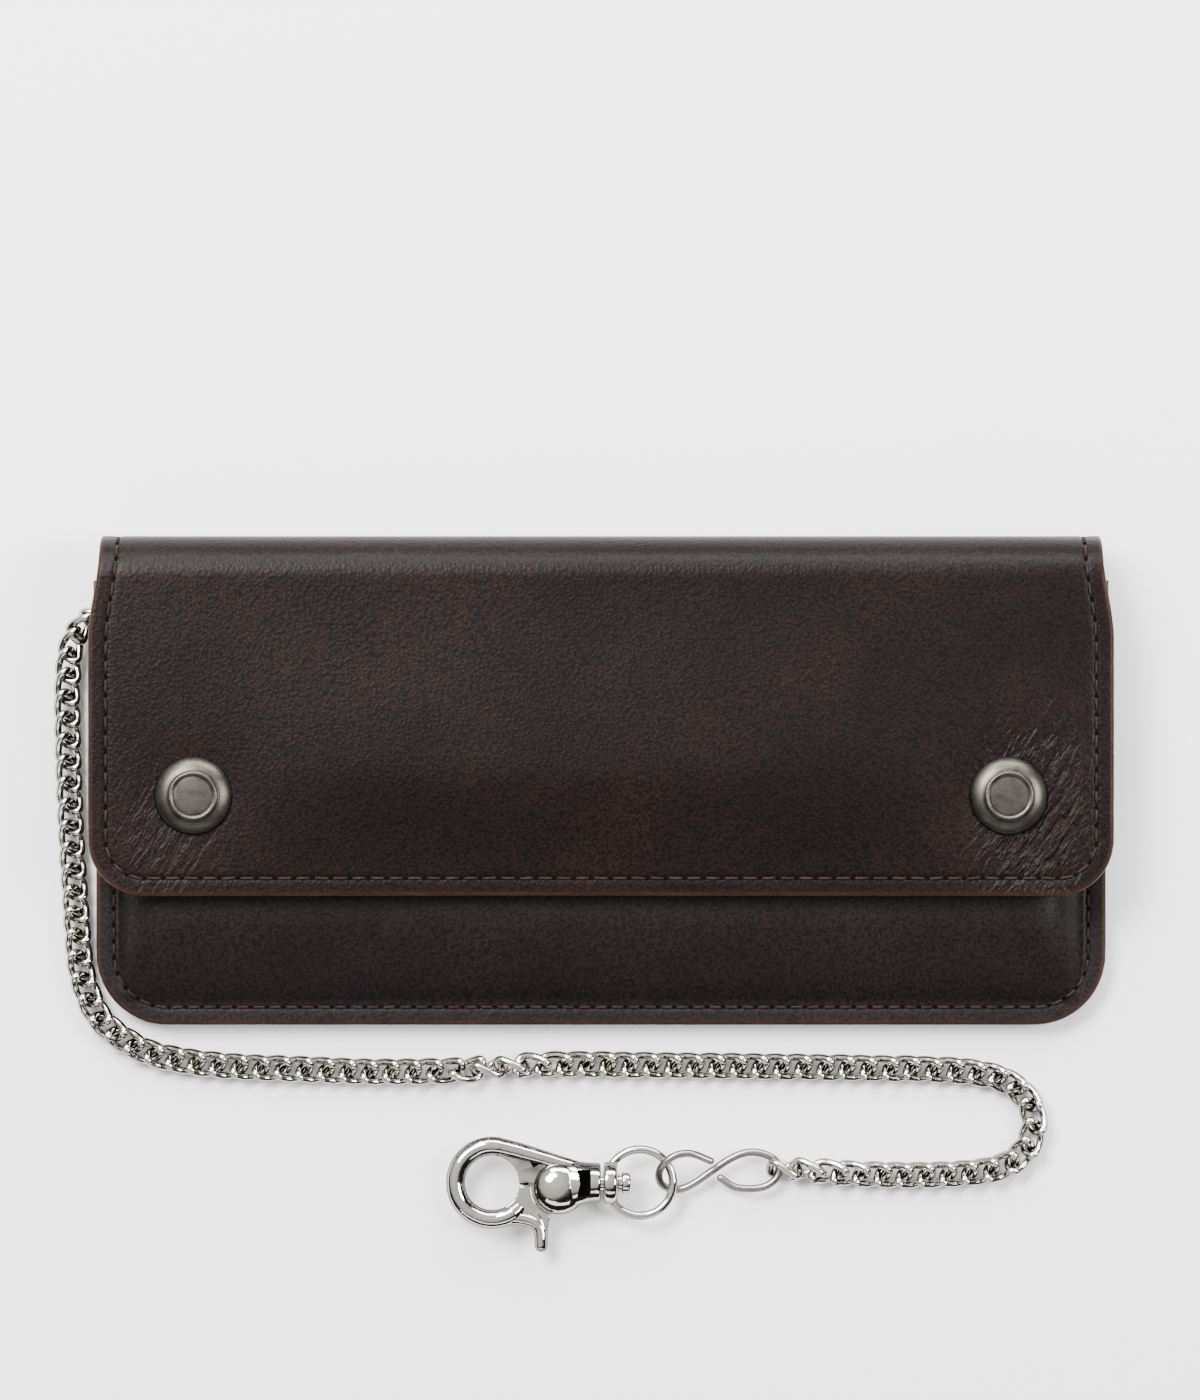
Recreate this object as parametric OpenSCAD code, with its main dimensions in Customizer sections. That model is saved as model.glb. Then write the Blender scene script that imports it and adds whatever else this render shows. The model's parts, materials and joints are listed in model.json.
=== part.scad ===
// Long leather chain wallet: a folded back-and-flap panel over a sewn front
// pocket, closed by two press studs, with a curb chain, an S-hook and a
// swivelling trigger snap hook.
// The wallet lies on its back: +X to the right, +Y towards the fold, +Z up.

/* [Wallet] */
// Width of the flap, the widest piece of the wallet
flap_w = 199; // [160:0.5:220]
// Height of the closed wallet, from the fold to the bottom edge
wallet_h = 95.5; // [85:0.5:120]
// How far the flap reaches down over the front, from the fold
flap_reach = 70; // [60:0.5:76]
// How far the flap stands proud of the body at each side
flap_proud = 0.75; // [0.5:0.25:2]
// Radius of the body's bottom corners
body_corner_r = 14; // [6:0.5:18]
// Radius of the flap's bottom corners
flap_corner_r = 11; // [5:0.5:16]
// How much narrower the leather is at the fold, at each side
fold_cut = 2; // [0:0.5:4]
// Height of the pocket's mouth above the bottom edge
mouth_h = 73.5; // [60:0.5:76]

/* [Leather] */
// Thickness of the outer leather
leather_t = 1.6; // [1.2:0.1:2]
// Thickness of the lining
lining_t = 0.5; // [0.4:0.1:0.8]
// Thickness of the divider
divider_t = 1; // [0.8:0.1:1.4]
// Thickness of one card pocket strip
strip_t = 0.7; // [0.5:0.1:0.9]
// Room for banknotes between the card pockets and the front
note_gap = 4.3; // [4.1:0.1:8]
// Width of the sewn border around the front pocket
border_w = 7; // [6:0.5:9]
// Width of the slope between the border and the raised front
slope_w = 5; // [3:0.5:6]
// Distance of the stitching from the edge
seam_inset = 3.5; // [2.5:0.25:4.5]
// Distance from one stitch to the next on the flap
flap_pitch = 3.6; // [3:0.1:5]
// Distance from one stitch to the next on the body
body_pitch = 3.2; // [2.6:0.1:5]
// Radius of the sewing thread
thread_r = 0.35; // [0.25:0.05:0.4]

/* [Card pockets] */
// Room between the ends of the card pockets and the front's inner wall
strip_margin = 0.6; // [0.4:0.1:6]
// Drop from one card pocket's mouth to the next
strip_drop = 13; // [10:0.5:15]

/* [Snaps] */
// Distance of each snap from the middle of the wallet
snap_x = 79; // [55:0.5:80]
// Height of the snaps above the flap's bottom edge
snap_up = 19.5; // [17:0.5:24]
// Diameter of the snap's cap
cap_d = 15.2; // [12:0.2:16]
// Height of the cap above the leather
cap_h = 2.6; // [2:0.1:3.2]
// Height of the socket and stud between flap and front
snap_gap = 2.8; // [2.6:0.1:3.4]
// Diameter of the stud's head
stud_d = 3.8; // [3.4:0.1:4]

/* [Ring and tab] */
// Inner width of the D-ring
ring_inner = 8.2; // [7:0.1:10]
// Wire diameter of the D-ring
ring_wire = 1.8; // [1.4:0.1:2]
// Height of the ring's middle above the bottom edge
ring_up = 81.5; // [80:0.5:83]

/* [Chain] */
// Width of the chain
chain_w = 5.2; // [4:0.1:6]
// Height of the chain as it lies
chain_h = 3.2; // [2.4:0.1:3.4]
// Wire diameter of a link
link_wire = 1.2; // [1:0.1:1.3]
// Length of a link over its middle line
link_len = 5.6; // [5.4:0.1:6]
// Wire diameter of the S-hook
s_wire = 1.5; // [1.2:0.1:1.6]

/* [Snap hook] */
// Inner diameter of the hook's eye
eye_d = 10.6; // [9:0.1:11]
// Width of the metal around the eye
eye_rim = 3.75; // [3:0.05:4]
// Thickness of the hook
hook_t = 3.8; // [3.4:0.1:4.4]
// Outer diameter of the swivel ring
swivel_od = 14.7; // [14:0.1:16]
// Wire diameter of the swivel ring
swivel_wire = 1.7; // [1.4:0.1:1.9]
// Diameter of the swivel post
post_d = 3; // [2.4:0.1:3.2]
// Diameter of the gate's pivot pin
pin_d = 2; // [1.6:0.1:2.2]
// Width of the thumb lever
lever_w = 2.5; // [2:0.1:3]

/* [Hidden] */
$fn = 48;
leather = "#3a2825";
lining = "#5a4030";
thread_c = "#6b3f28";
nickel = "#c8c4bc";
old_nickel = "#9a958c";

// Clearances
turn_gap = 0.3;      // between curved faces that move past each other
run_gap = 0.06;      // radial, around a pin or post that turns
hole_gap = 0.1;      // radial, around metal that passes through leather
eps = 0.01;

// Levels of the stack, from the table up
back_top = leather_t;
back_lining_top = back_top + lining_t;
divider_top = back_lining_top + divider_t;
strips = 3;
strips_top = divider_top + strips * strip_t;
border_top = divider_top + leather_t;
front_lining_low = strips_top + note_gap;
front_low = front_lining_low + lining_t;
front_top = front_low + leather_t;
flap_lining_low = front_top + snap_gap;
flap_low = flap_lining_low + lining_t;
flap_top = flap_low + leather_t;

// Fold: a half-round bend, cut at its two 45 degree points
fold_out = flap_top / 2;
fold_mid = fold_out - leather_t / 2;
fold_in = fold_out - leather_t;
y_top = wallet_h / 2;
y_bottom = -wallet_h / 2;
fold_y = y_top - fold_out;
pivot_off = fold_mid * PI / 4;
fold_split = 45;
fold_split_gap = turn_gap / fold_out * 180 / PI;
fold_w = flap_w - 2 * fold_cut;
fold_taper = 12;
body_w = flap_w - 2 * flap_proud;
mouth_y = y_bottom + mouth_h;
pillow_r = body_corner_r - border_w / 2;
strip_lean = slope_w * (strips_top - divider_top) / (front_low - divider_top);
strip_w = body_w - 2 * (border_w + leather_t + strip_lean + strip_margin);
strip_low = y_bottom + border_w + slope_w + leather_t;
flap_y = y_top - flap_reach;
lining_y = fold_y - 0.5;
panel_inset = 1;

// Snaps
snap_y = flap_y + snap_up;
cap_r = cap_d / 2;
cap_post_r = 1.95;
socket_r = 5.5;
socket_hole_r = stud_d / 2 + 0.6;
socket_plate_t = 0.6;
socket_low_gap = 0.2;
stud_base_t = 0.5;
stud_base_r = 5;
eyelet_r = 1.5;
eyelet_rim_r = 4;
eyelet_rim_t = 0.4;
spring_wire_r = 0.22;

// Ring and tab
ring_bow = (ring_inner + ring_wire) / 2;
ring_y = y_bottom + ring_up;
tab_hole_r = ring_wire / 2 + 0.25;
tab_loop_r = tab_hole_r + 1.4;
ring_z = divider_top + tab_loop_r;
ring_x = -flap_w / 2 + ring_bow + ring_wire / 2 + 1.6;
tab_w = 2 * sqrt(pow(ring_inner / 2, 2) - pow(tab_loop_r + 0.2, 2));
tab_len = 13;

// Chain: middle line, from the ring to the S-hook,
// down the left side, from the wallet's left bottom corner
chain_down = [
    [1.3, 80.85, 5.6], [-1.2, 79.15, 5.2], [-4.1, 73.75, 4], [-4.9, 65.75, 3],
    [-4.9, 57.75, 2.7], [-4.7, 49.75, 2.7], [-4.4, 41.75, 2.7], [-4, 33.75, 2.7],
    [-3.5, 25.75, 2.6], [-3, 17.75, 2.5], [-2.3, 10.75, 2.4], [-0.3, 4.15, 2.3],
    [2.7, -0.25, 2.2], [6.9, -3.45, 2]
];
// along the bottom and back, from the bottom edge
chain_back = [
    [-87.8, -5.75, 1.8], [-81, -7.25, 1.8], [-72, -8.25, 1.8], [-60, -8.75, 1.8],
    [-47, -9.25, 2], [-37, -9.25, 2.4], [-28, -9.05, 2.2], [-18, -8.25, 1.8],
    [-8, -7.85, 1.8], [10, -8.05, 1.8], [29, -8.25, 1.8], [49, -8.55, 1.8],
    [67, -8.95, 1.8], [76, -10.05, 1.8], [81, -12.25, 1.9], [84, -15.65, 2.1],
    [84.8, -19.65, 2.2], [83.6, -23.75, 2.1], [80.2, -27.05, 1.9], [75, -28.75, 1.8],
    [67, -29.45, 1.8], [58, -29.55, 1.8], [49, -29.25, 2.1], [42.5, -28.75, 2.5],
    [39.4, -28.45, 2.7], [36.1, -28.25, 2.8]
];
chain_route = concat(
    [for (p = chain_down) [p[0] - flap_w / 2, p[1] + y_bottom, p[2]]],
    [for (p = chain_back) [p[0], p[1] + y_bottom, p[2]]]);
chain_points = len(chain_route);
link_r = 2;
link_half = link_len / 2 - link_r;

// S-hook: middle line of its wire, from the snap hook's axis
s_shape = [
    [21.4, 4.3, 5], [18, 5.7, 5.9], [15.4, 5.7, 6.3], [13.4, 4.8, 6.3], [11.9, 3.3, 5.6],
    [11.3, 1.4, 4.3], [11.9, -0.4, 3], [13.7, -1.4, 2.3], [16, -1.3, 2.3], [18.6, 0, 2.6],
    [22, 2.4, 2.8], [25.4, 4.6, 2.8], [28.6, 5.8, 2.8], [31.6, 5.6, 2.8], [34, 4.4, 2.8],
    [34.9, 2.6, 2.8], [34.2, 0.6, 2.8], [32, -0.9, 2.8], [29, -1.3, 2.8], [26, -0.9, 2.8],
    [23.4, 0.8, 2.8]
];

// Snap hook
hook_y = y_bottom - 30.85;
hook_z = 4.3;
s_route = [for (p = s_shape) [p[0], p[1] + hook_y, p[2]]];
eye_x = -21.3;
pivot_x = -8.2;
pivot_y = hook_y - 1;
eye_r = eye_d / 2;
rim_r = eye_r + eye_rim;
neck_r = 4;
neck_len = 2.6;
collar_r = 4.2;
collar_x = 0.5;
collar_len = 2.7;
swivel_r = (swivel_od - swivel_wire) / 2;
swivel_x = collar_x + 0.6 + swivel_r;
post_in = 4.6;
post_head_r = 2.3;
post_head_len = 2.5;
dome_r = 5.3;
dome_h = 1.3;
hub_r = 3.4;
hub_low = -0.9;
hub_top = 0.3;
hub_room = 1.7;
gate_start = -135;
gate_end = -3;
gate_travel = 22;
lever_x = -11.7;
lever_top = hook_y - 8.2;
lever_y = hook_y - 12.4;

// ---------------------------------------------------------------- helpers

// Points of an arc about (cx, cy)
function arc(cx, cy, r, a0, a1, n = 8) =
    [for (i = [0:n]) let (a = a0 + (a1 - a0) * i / n) [cx + r * cos(a), cy + r * sin(a)]];

// Outline of a panel with round bottom corners and a square top
function panel_outline(w, low, high, r) =
    concat(arc(-w / 2 + r, low + r, r, 180, 270), arc(w / 2 - r, low + r, r, 270, 360),
           [[w / 2, high], [-w / 2, high]]);

module panel(w, low, high, r, t) {
    linear_extrude(t) polygon(panel_outline(w, low, high, r));
}

// A place on a U-shaped seam: down the left side, along the bottom, up the right
function seam_length(w, low, high, r) = 2 * (high - low - r) + w - 2 * r + PI * r;
function seam_place(s, w, low, high, r) =
    let (side = high - low - r, bend = PI * r / 2, foot = w - 2 * r)
    s < side ? [-w / 2, high - s, -90] :
    s < side + bend ?
        let (a = 180 + 90 * (s - side) / bend)
        [-w / 2 + r + r * cos(a), low + r + r * sin(a), a + 90] :
    s < side + bend + foot ? [-w / 2 + r + s - side - bend, low, 0] :
    s < side + 2 * bend + foot ?
        let (a = 270 + 90 * (s - side - bend - foot) / bend)
        [w / 2 - r + r * cos(a), low + r + r * sin(a), a + 90] :
    [w / 2, low + r + s - side - 2 * bend - foot, 90];

// One stitch of thread, lying half in the leather along +X
module stitch(pitch) {
    len = pitch * 0.72;
    translate([-len / 2, 0, 0]) rotate([0, 90, 0]) cylinder(r = thread_r, h = len, $fn = 16);
}

// Stitches along a U-shaped seam
module seam(w, low, high, r, z, pitch) {
    total = seam_length(w, low, high, r);
    count = floor(total / pitch);
    for (i = [0:count - 1]) {
        p = seam_place((i + 0.5) * total / count, w, low, high, r);
        translate([p[0], p[1], z]) rotate([0, 0, p[2]]) stitch(total / count);
    }
}

// A row of stitches from one point towards +X
module stitch_row(x, y, z, length, pitch, turn = 0) {
    count = floor(length / pitch);
    translate([x, y, z]) rotate([0, 0, turn])
        for (i = [0:count - 1])
            translate([(i + 0.5) * pitch, 0, 0]) stitch(pitch);
}

// Part of the fold, between two angles about the fold's middle
module fold_arc(a0, a1, w, r_in, r_out) {
    outline = concat(arc(fold_y, fold_out, r_out, a0, a1), arc(fold_y, fold_out, r_in, a1, a0));
    rotate([90, 0, 90]) translate([0, 0, -w / 2]) linear_extrude(w) polygon(outline);
}

// Direction of travel at a point of a route
function ahead(route, i) =
    let (a = route[max(i - 1, 0)], b = route[min(i + 1, len(route) - 1)]) (b - a) / norm(b - a);

// Tube of an oval section, its wide axis level, along a route
module tube(route, w, h, sides) {
    n = len(route);
    points = [
        for (i = [0:n - 1])
            let (t = ahead(route, i), s = cross([0, 0, 1], t), side = s / norm(s), up = cross(t, side))
            for (k = [0:sides - 1])
                let (a = 360 * k / sides + 180 / sides)
                route[i] + side * (w / 2) * cos(a) + up * (h / 2) * sin(a)
    ];
    walls = [
        for (i = [0:n - 2]) for (k = [0:sides - 1])
            let (m = (k + 1) % sides)
            [i * sides + k, (i + 1) * sides + k, (i + 1) * sides + m, i * sides + m]
    ];
    polyhedron(points, concat([[for (k = [0:sides - 1]) k]],
        walls, [[for (k = [sides - 1:-1:0]) (n - 1) * sides + k]]), convexity = 10);
}

// A plain oval link, standing in the XZ plane
module link() {
    rotate([90, 0, 0]) {
        for (side = [0, 180])
            rotate([0, 0, side]) translate([link_half, 0, 0])
                rotate([0, 0, -90]) rotate_extrude(angle = 180)
                    translate([link_r, 0]) circle(r = link_wire / 2, $fn = 24);
        for (y = [-link_r, link_r])
            translate([-link_half, y, 0]) rotate([0, 90, 0])
                cylinder(r = link_wire / 2, h = 2 * link_half, $fn = 24);
    }
}

module at_snap(side) {
    translate([side * snap_x, snap_y, 0]) children();
}

module snap_holes(r, low, high) {
    for (side = [-1, 1])
        at_snap(side) translate([0, 0, low - 1]) cylinder(r = r, h = high - low + 2);
}

// ---------------------------------------------------------- wallet body

module back_panel() {
    color(leather) {
        difference() {
            panel(body_w, y_bottom, fold_y, body_corner_r, leather_t);
            fold_ends(body_w);
        }
        fold_arc(-90, -fold_split - fold_split_gap / 2, fold_w, fold_in, fold_out);
    }
}

// Slanted corners that narrow a panel of a given width to the fold's width
module fold_ends(w) {
    for (side = [-1, 1])
        translate([0, 0, -1]) linear_extrude(flap_top + 2)
            polygon([[side * fold_w / 2, fold_y + 1], [side * fold_w / 2, fold_y],
                     [side * w / 2, fold_y - fold_taper], [side * (w / 2 + 1), fold_y - fold_taper],
                     [side * (w / 2 + 1), fold_y + 1]]);
}

module back_lining() {
    color(lining) difference() {
        translate([0, 0, back_top])
            panel(body_w - 2 * panel_inset, y_bottom + panel_inset, lining_y,
                  body_corner_r - panel_inset, lining_t);
        fold_ends(body_w);
    }
}

module divider() {
    color(lining) difference() {
        translate([0, 0, back_lining_top])
            panel(body_w - 2 * panel_inset, y_bottom + panel_inset, lining_y - 1,
                  body_corner_r - panel_inset, divider_t);
        fold_ends(body_w);
    }
}

// Card pocket strips, each with its mouth lower than the one behind it
module card_pocket(index) {
    high = mouth_y + 1.5 - index * strip_drop;
    color(leather) translate([0, 0, divider_top + index * strip_t])
        panel(strip_w, strip_low, high, pillow_r, strip_t);
}

// Thread that holds the card pockets to the divider: both ends, the middle and the foot
module pocket_thread() {
    low = strip_low + pillow_r;
    top = mouth_y - (strips - 1) * strip_drop;
    inset = 3;
    foot = strip_w - 2 * pillow_r;
    color(thread_c) {
        for (x = [-strip_w / 2 + inset, 0, strip_w / 2 - inset])
            stitch_row(x, low, strips_top, top - low - 2, body_pitch, 90);
        stitch_row(-foot / 2, strip_low + inset, strips_top, foot, body_pitch);
    }
}

// Solid between the border and the raised front, shrunk by an inset
module pillow(inset, high) {
    hull() {
        translate([0, 0, divider_top - eps])
            panel(body_w - 2 * (border_w + inset), y_bottom + border_w + inset, mouth_y + 2,
                  pillow_r, eps);
        translate([0, 0, high - eps])
            panel(body_w - 2 * (border_w + slope_w + inset), y_bottom + border_w + slope_w + inset,
                  mouth_y + 2, pillow_r, eps);
    }
}

module front_panel() {
    color(leather) difference() {
        union() {
            translate([0, 0, divider_top]) panel(body_w, y_bottom, mouth_y + 1, body_corner_r, leather_t);
            pillow(0, front_top);
        }
        pillow(leather_t, front_low);
        translate([0, 0, divider_top - 1])
            linear_extrude(1 + eps) square([flap_w, wallet_h + 1], center = true);
        translate([-flap_w / 2, mouth_y, 0]) cube([flap_w, wallet_h, flap_top]);
        snap_holes(eyelet_r + hole_gap, front_low, front_top);
    }
}

module front_lining() {
    inset = border_w + slope_w + leather_t + 1;
    color(lining) difference() {
        translate([0, 0, front_lining_low])
            panel(body_w - 2 * inset, y_bottom + inset, mouth_y, pillow_r, lining_t);
        snap_holes(eyelet_r + hole_gap, front_lining_low, front_low);
    }
}

module body_thread() {
    color(thread_c)
        seam(body_w - 2 * seam_inset, y_bottom + seam_inset, mouth_y - 3,
             body_corner_r - seam_inset, border_top, body_pitch);
}

// ----------------------------------------------------------- fold and flap

module fold_strip() {
    edge = fold_split - fold_split_gap / 2;
    color(leather) fold_arc(-edge, edge, fold_w, fold_in, fold_out);
}

module flap_panel() {
    color(leather) {
        difference() {
            translate([0, 0, flap_low]) panel(flap_w, flap_y, fold_y, flap_corner_r, leather_t);
            fold_ends(flap_w);
            snap_holes(cap_post_r + hole_gap, flap_low, flap_top);
        }
        fold_arc(fold_split + fold_split_gap / 2, 90, fold_w, fold_in, fold_out);
    }
}

module flap_lining() {
    color(lining) difference() {
        translate([0, 0, flap_lining_low])
            panel(flap_w - 2 * panel_inset, flap_y + panel_inset, lining_y,
                  flap_corner_r - panel_inset, lining_t);
        fold_ends(flap_w - 2 * panel_inset);
        snap_holes(cap_post_r + hole_gap, flap_lining_low, flap_low);
    }
}

module flap_thread() {
    color(thread_c)
        seam(flap_w - 2 * seam_inset, flap_y + seam_inset, fold_y - fold_taper - 2,
             flap_corner_r - seam_inset, flap_top, flap_pitch);
}

// ------------------------------------------------------------------ snaps

// Cap: a low dome with a plain raised ring, and the post that goes through the flap
module snap_cap() {
    ring_at = cap_r * 0.62;
    rim = 0.5;
    steps = 12;
    dome = [for (i = [0:steps])
        let (r = cap_r * i / steps, d = abs(r - ring_at), bump = d < cap_r / steps ? 0.25 : 0)
        [r, rim + (cap_h - rim - 0.25) * (1 - pow(r / cap_r, 2)) + bump]];
    color(old_nickel) translate([0, 0, flap_top]) {
        rotate_extrude($fn = 64) polygon(concat([[0, 0]], dome, [[cap_r, 0]]));
        translate([0, 0, flap_lining_low - flap_top - socket_plate_t])
            cylinder(r = cap_post_r, h = flap_top - flap_lining_low + socket_plate_t + eps);
    }
}

module snap_socket() {
    low = front_top + stud_base_t + socket_low_gap;
    plate = flap_lining_low - socket_plate_t;
    color(old_nickel) difference() {
        translate([0, 0, low]) cylinder(r = socket_r, h = flap_lining_low - low);
        translate([0, 0, low - 1]) cylinder(r = socket_hole_r, h = plate - low + 1);
        translate([0, 0, plate - 1]) cylinder(r = cap_post_r + hole_gap, h = socket_plate_t + 2);
        translate([0, 0, spring_z() - 2 * spring_wire_r])
            cylinder(r = socket_hole_r + 2 * spring_wire_r + run_gap, h = 4 * spring_wire_r);
    }
}

function spring_z() = (front_top + stud_base_t + socket_low_gap + flap_lining_low - socket_plate_t) / 2;

// Open wire ring that grips the stud's head
module snap_spring() {
    color(nickel) translate([0, 0, spring_z()]) rotate([0, 0, 20]) rotate_extrude(angle = 320)
        translate([socket_hole_r + spring_wire_r, 0]) circle(r = spring_wire_r, $fn = 16);
}

module snap_stud() {
    head = flap_lining_low - socket_plate_t - 0.2 - front_top;
    color(old_nickel) translate([0, 0, front_top]) difference() {
        rotate_extrude() polygon([[0, 0], [stud_base_r, 0], [stud_base_r, stud_base_t / 2],
            [stud_d / 2 - 0.2, stud_base_t], [stud_d / 2 - 0.3, head * 0.55],
            [stud_d / 2, head * 0.75], [stud_d / 2 - 0.3, head], [0, head]]);
        translate([0, 0, -1]) cylinder(r = eyelet_r + run_gap / 2, h = 1 + head * 0.6);
    }
}

// Eyelet that holds the stud: a rim inside the pocket and a shank through the front
module snap_eyelet() {
    color(old_nickel) translate([0, 0, front_lining_low]) {
        translate([0, 0, -eyelet_rim_t]) cylinder(r = eyelet_rim_r, h = eyelet_rim_t);
        cylinder(r = eyelet_r, h = front_top - front_lining_low + stud_base_t);
    }
}

// ----------------------------------------------------------- ring and chain

module ring_tab() {
    back = ring_x + tab_len;
    slab = divider_top + 2.2;
    color(leather) translate([0, ring_y + tab_w / 2, 0]) rotate([90, 0, 0]) linear_extrude(tab_w)
        difference() {
            union() {
                translate([ring_x, ring_z]) circle(r = tab_loop_r);
                polygon([[ring_x, divider_top], [back, divider_top], [back, slab],
                         [ring_x + 4, slab], [ring_x + 0.6, ring_z + tab_loop_r - 0.08], [ring_x, ring_z]]);
            }
            translate([ring_x, ring_z]) circle(r = tab_hole_r);
        }
}

module tab_thread() {
    color(thread_c) for (x = [ring_x + 5.5, ring_x + tab_len - 1.5])
        stitch_row(x, ring_y - tab_w / 2 + 0.6, divider_top + 2.2, tab_w - 1.2, 2, 90);
}

module d_ring() {
    color(nickel) translate([ring_x, ring_y, ring_z]) {
        rotate([0, 0, 90]) rotate_extrude(angle = 180) translate([ring_bow, 0])
            circle(r = ring_wire / 2, $fn = 24);
        translate([0, -ring_bow, 0]) rotate([-90, 0, 0])
            cylinder(r = ring_wire / 2, h = 2 * ring_bow, $fn = 24);
        for (y = [-ring_bow, ring_bow])
            translate([0, y, 0]) sphere(r = ring_wire / 2, $fn = 24);
    }
}

// The first link hangs round the D-ring's bow, clear of the divider under it
module chain_first_link() {
    turn = 30;
    slack = 0.6;
    lift = 0.3;
    color(nickel) translate([ring_x - ring_bow, ring_y, ring_z + lift]) rotate([0, 0, turn])
        translate([-(link_len / 2 - link_wire / 2 - ring_wire / 2 - slack), 0, 0]) link();
}

module chain() {
    color(nickel) tube([for (i = [1:chain_points - 2]) chain_route[i]], chain_w, chain_h, 8);
}

module chain_last_link() {
    color(nickel) translate(chain_route[chain_points - 1]) link();
}

module s_hook() {
    color(nickel) tube(s_route, s_wire, s_wire, 10);
}

// -------------------------------------------------------------- snap hook

module swivel_eye() {
    color(nickel) translate([0, hook_y, hook_z]) difference() {
        union() {
            translate([swivel_x, 0, 0]) rotate_extrude($fn = 64)
                translate([swivel_r, 0]) circle(r = swivel_wire / 2, $fn = 24);
            translate([collar_x, 0, 0]) rotate([0, 90, 0]) cylinder(r = collar_r, h = collar_len);
        }
        translate([collar_x - 3, 0, 0]) rotate([0, 90, 0])
            cylinder(r = post_d / 2 + run_gap, h = collar_len + 6);
        translate([collar_x + collar_len, 0, 0]) rotate([0, 90, 0])
            cylinder(r = post_head_r + turn_gap, h = post_head_len + 2 * turn_gap);
        translate([collar_x - 3, 0, 0]) rotate([0, 90, 0]) cylinder(r = collar_r + 1, h = 3);
    }
}

module swivel_post() {
    color(nickel) translate([0, hook_y, hook_z]) rotate([0, 90, 0]) {
        translate([0, 0, -post_in])
            cylinder(r = post_d / 2, h = post_in + collar_x + collar_len + turn_gap / 2 + eps);
        translate([0, 0, collar_x + collar_len + turn_gap / 2]) cylinder(r = post_head_r, h = post_head_len);
    }
}

// Flat outline of the whole hook, gate included
module hook_outline() {
    translate([eye_x, hook_y]) circle(r = rim_r, $fn = 96);
    polygon([[eye_x + rim_r * cos(77), hook_y + rim_r * sin(77)], [-neck_len, hook_y + neck_r],
             [0, hook_y + neck_r], [0, hook_y - neck_r], [-neck_len, hook_y - neck_r],
             [pivot_x + dome_r * cos(-62), pivot_y + dome_r * sin(-62)],
             [pivot_x, pivot_y], [eye_x, hook_y]]);
    translate([pivot_x, pivot_y]) circle(r = dome_r);
}

// The gate's share of the outline, outside the dome
module gate_outline(gap) {
    difference() {
        union() {
            polygon(concat([[eye_x, hook_y]],
                arc(eye_x, hook_y, rim_r + gap, gate_start, gate_end, 24)));
            polygon([[eye_x + rim_r * cos(-62), hook_y + rim_r * sin(-62)],
                     [lever_x - lever_w / 2 - gap, hook_y - 8.8], [lever_x + lever_w / 2 + gap, hook_y - 8.8],
                     [-10.2 + gap, hook_y - 5.8], [pivot_x, pivot_y],
                     [eye_x + rim_r * cos(gate_end), hook_y + rim_r * sin(gate_end)]]);
        }
        translate([eye_x, hook_y]) circle(r = eye_r, $fn = 96);
        translate([pivot_x, pivot_y]) circle(r = dome_r + turn_gap - gap);
    }
}

// Room between the dome's faces that the gate's hub turns in
module hub_room_space() {
    translate([pivot_x, pivot_y, hub_low - run_gap]) {
        cylinder(r = hub_r + turn_gap, h = hub_room - hub_low + run_gap);
        linear_extrude(hub_room - hub_low + run_gap)
            polygon(concat([[0, 0]], arc(0, 0, dome_r + 1, -184, -92, 16)));
    }
}

module hook_body() {
    color(nickel) translate([0, 0, hook_z]) difference() {
        union() {
            translate([0, 0, -hook_t / 2]) linear_extrude(hook_t) difference() {
                hook_outline();
                gate_outline(turn_gap / 2);
            }
            translate([-neck_len, hook_y, 0]) rotate([0, 90, 0]) cylinder(r = neck_r, h = neck_len + 0.2);
            translate([pivot_x, pivot_y, -hook_t / 2 - dome_h]) dome_button();
            translate([pivot_x, pivot_y, hook_t / 2 + dome_h]) mirror([0, 0, 1]) dome_button();
        }
        translate([eye_x, hook_y, -hook_t]) cylinder(r = eye_r, h = 2 * hook_t, $fn = 96);
        hub_room_space();
        translate([pivot_x, pivot_y, -hook_t / 2 - dome_h / 2]) cylinder(r = pin_d / 2, h = hook_t + dome_h);
        translate([-post_in, hook_y, 0]) rotate([0, 90, 0]) cylinder(r = post_d / 2, h = post_in + 1);
        translate([-4.4, hook_y - 2.6, hook_t / 2 - 1.4]) cube([2, 5.2, hook_t]);
        translate([0, 0, hook_t / 2 - 1]) linear_extrude(2)
            polygon([[-14.6, hook_y + 6.4], [-10, hook_y + 5.3], [-13.2, hook_y + 3.7]]);
    }
}

// Low dome with its flat face up, as a stack of turned steps
module dome_button() {
    steps = 10;
    rotate_extrude($fn = 64) polygon(concat([[0, dome_h + 0.4]],
        [for (i = [0:steps]) let (a = 90 * i / steps) [dome_r * sin(a), dome_h * (1 - cos(a))]],
        [[dome_r, dome_h + 0.4]]));
}

module gate() {
    color(nickel) translate([0, 0, hook_z]) difference() {
        union() {
            translate([0, 0, -hook_t / 2]) linear_extrude(hook_t) gate_outline(-turn_gap / 2);
            translate([pivot_x, pivot_y, hub_low]) {
                cylinder(r = hub_r, h = hub_top - hub_low);
                linear_extrude(hub_top - hub_low)
                    polygon(concat([[0, 0]], arc(0, 0, dome_r + 1.2, -172, -122, 12)));
            }
            translate([lever_x, lever_top, 0]) rotate([90, 0, 0])
                cylinder(r = lever_w / 2, h = lever_top - lever_y);
            translate([lever_x, lever_y, 0]) sphere(r = lever_w / 2);
        }
        translate([pivot_x, pivot_y, -hook_t]) cylinder(r = pin_d / 2 + run_gap, h = 2 * hook_t);
    }
}

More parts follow.
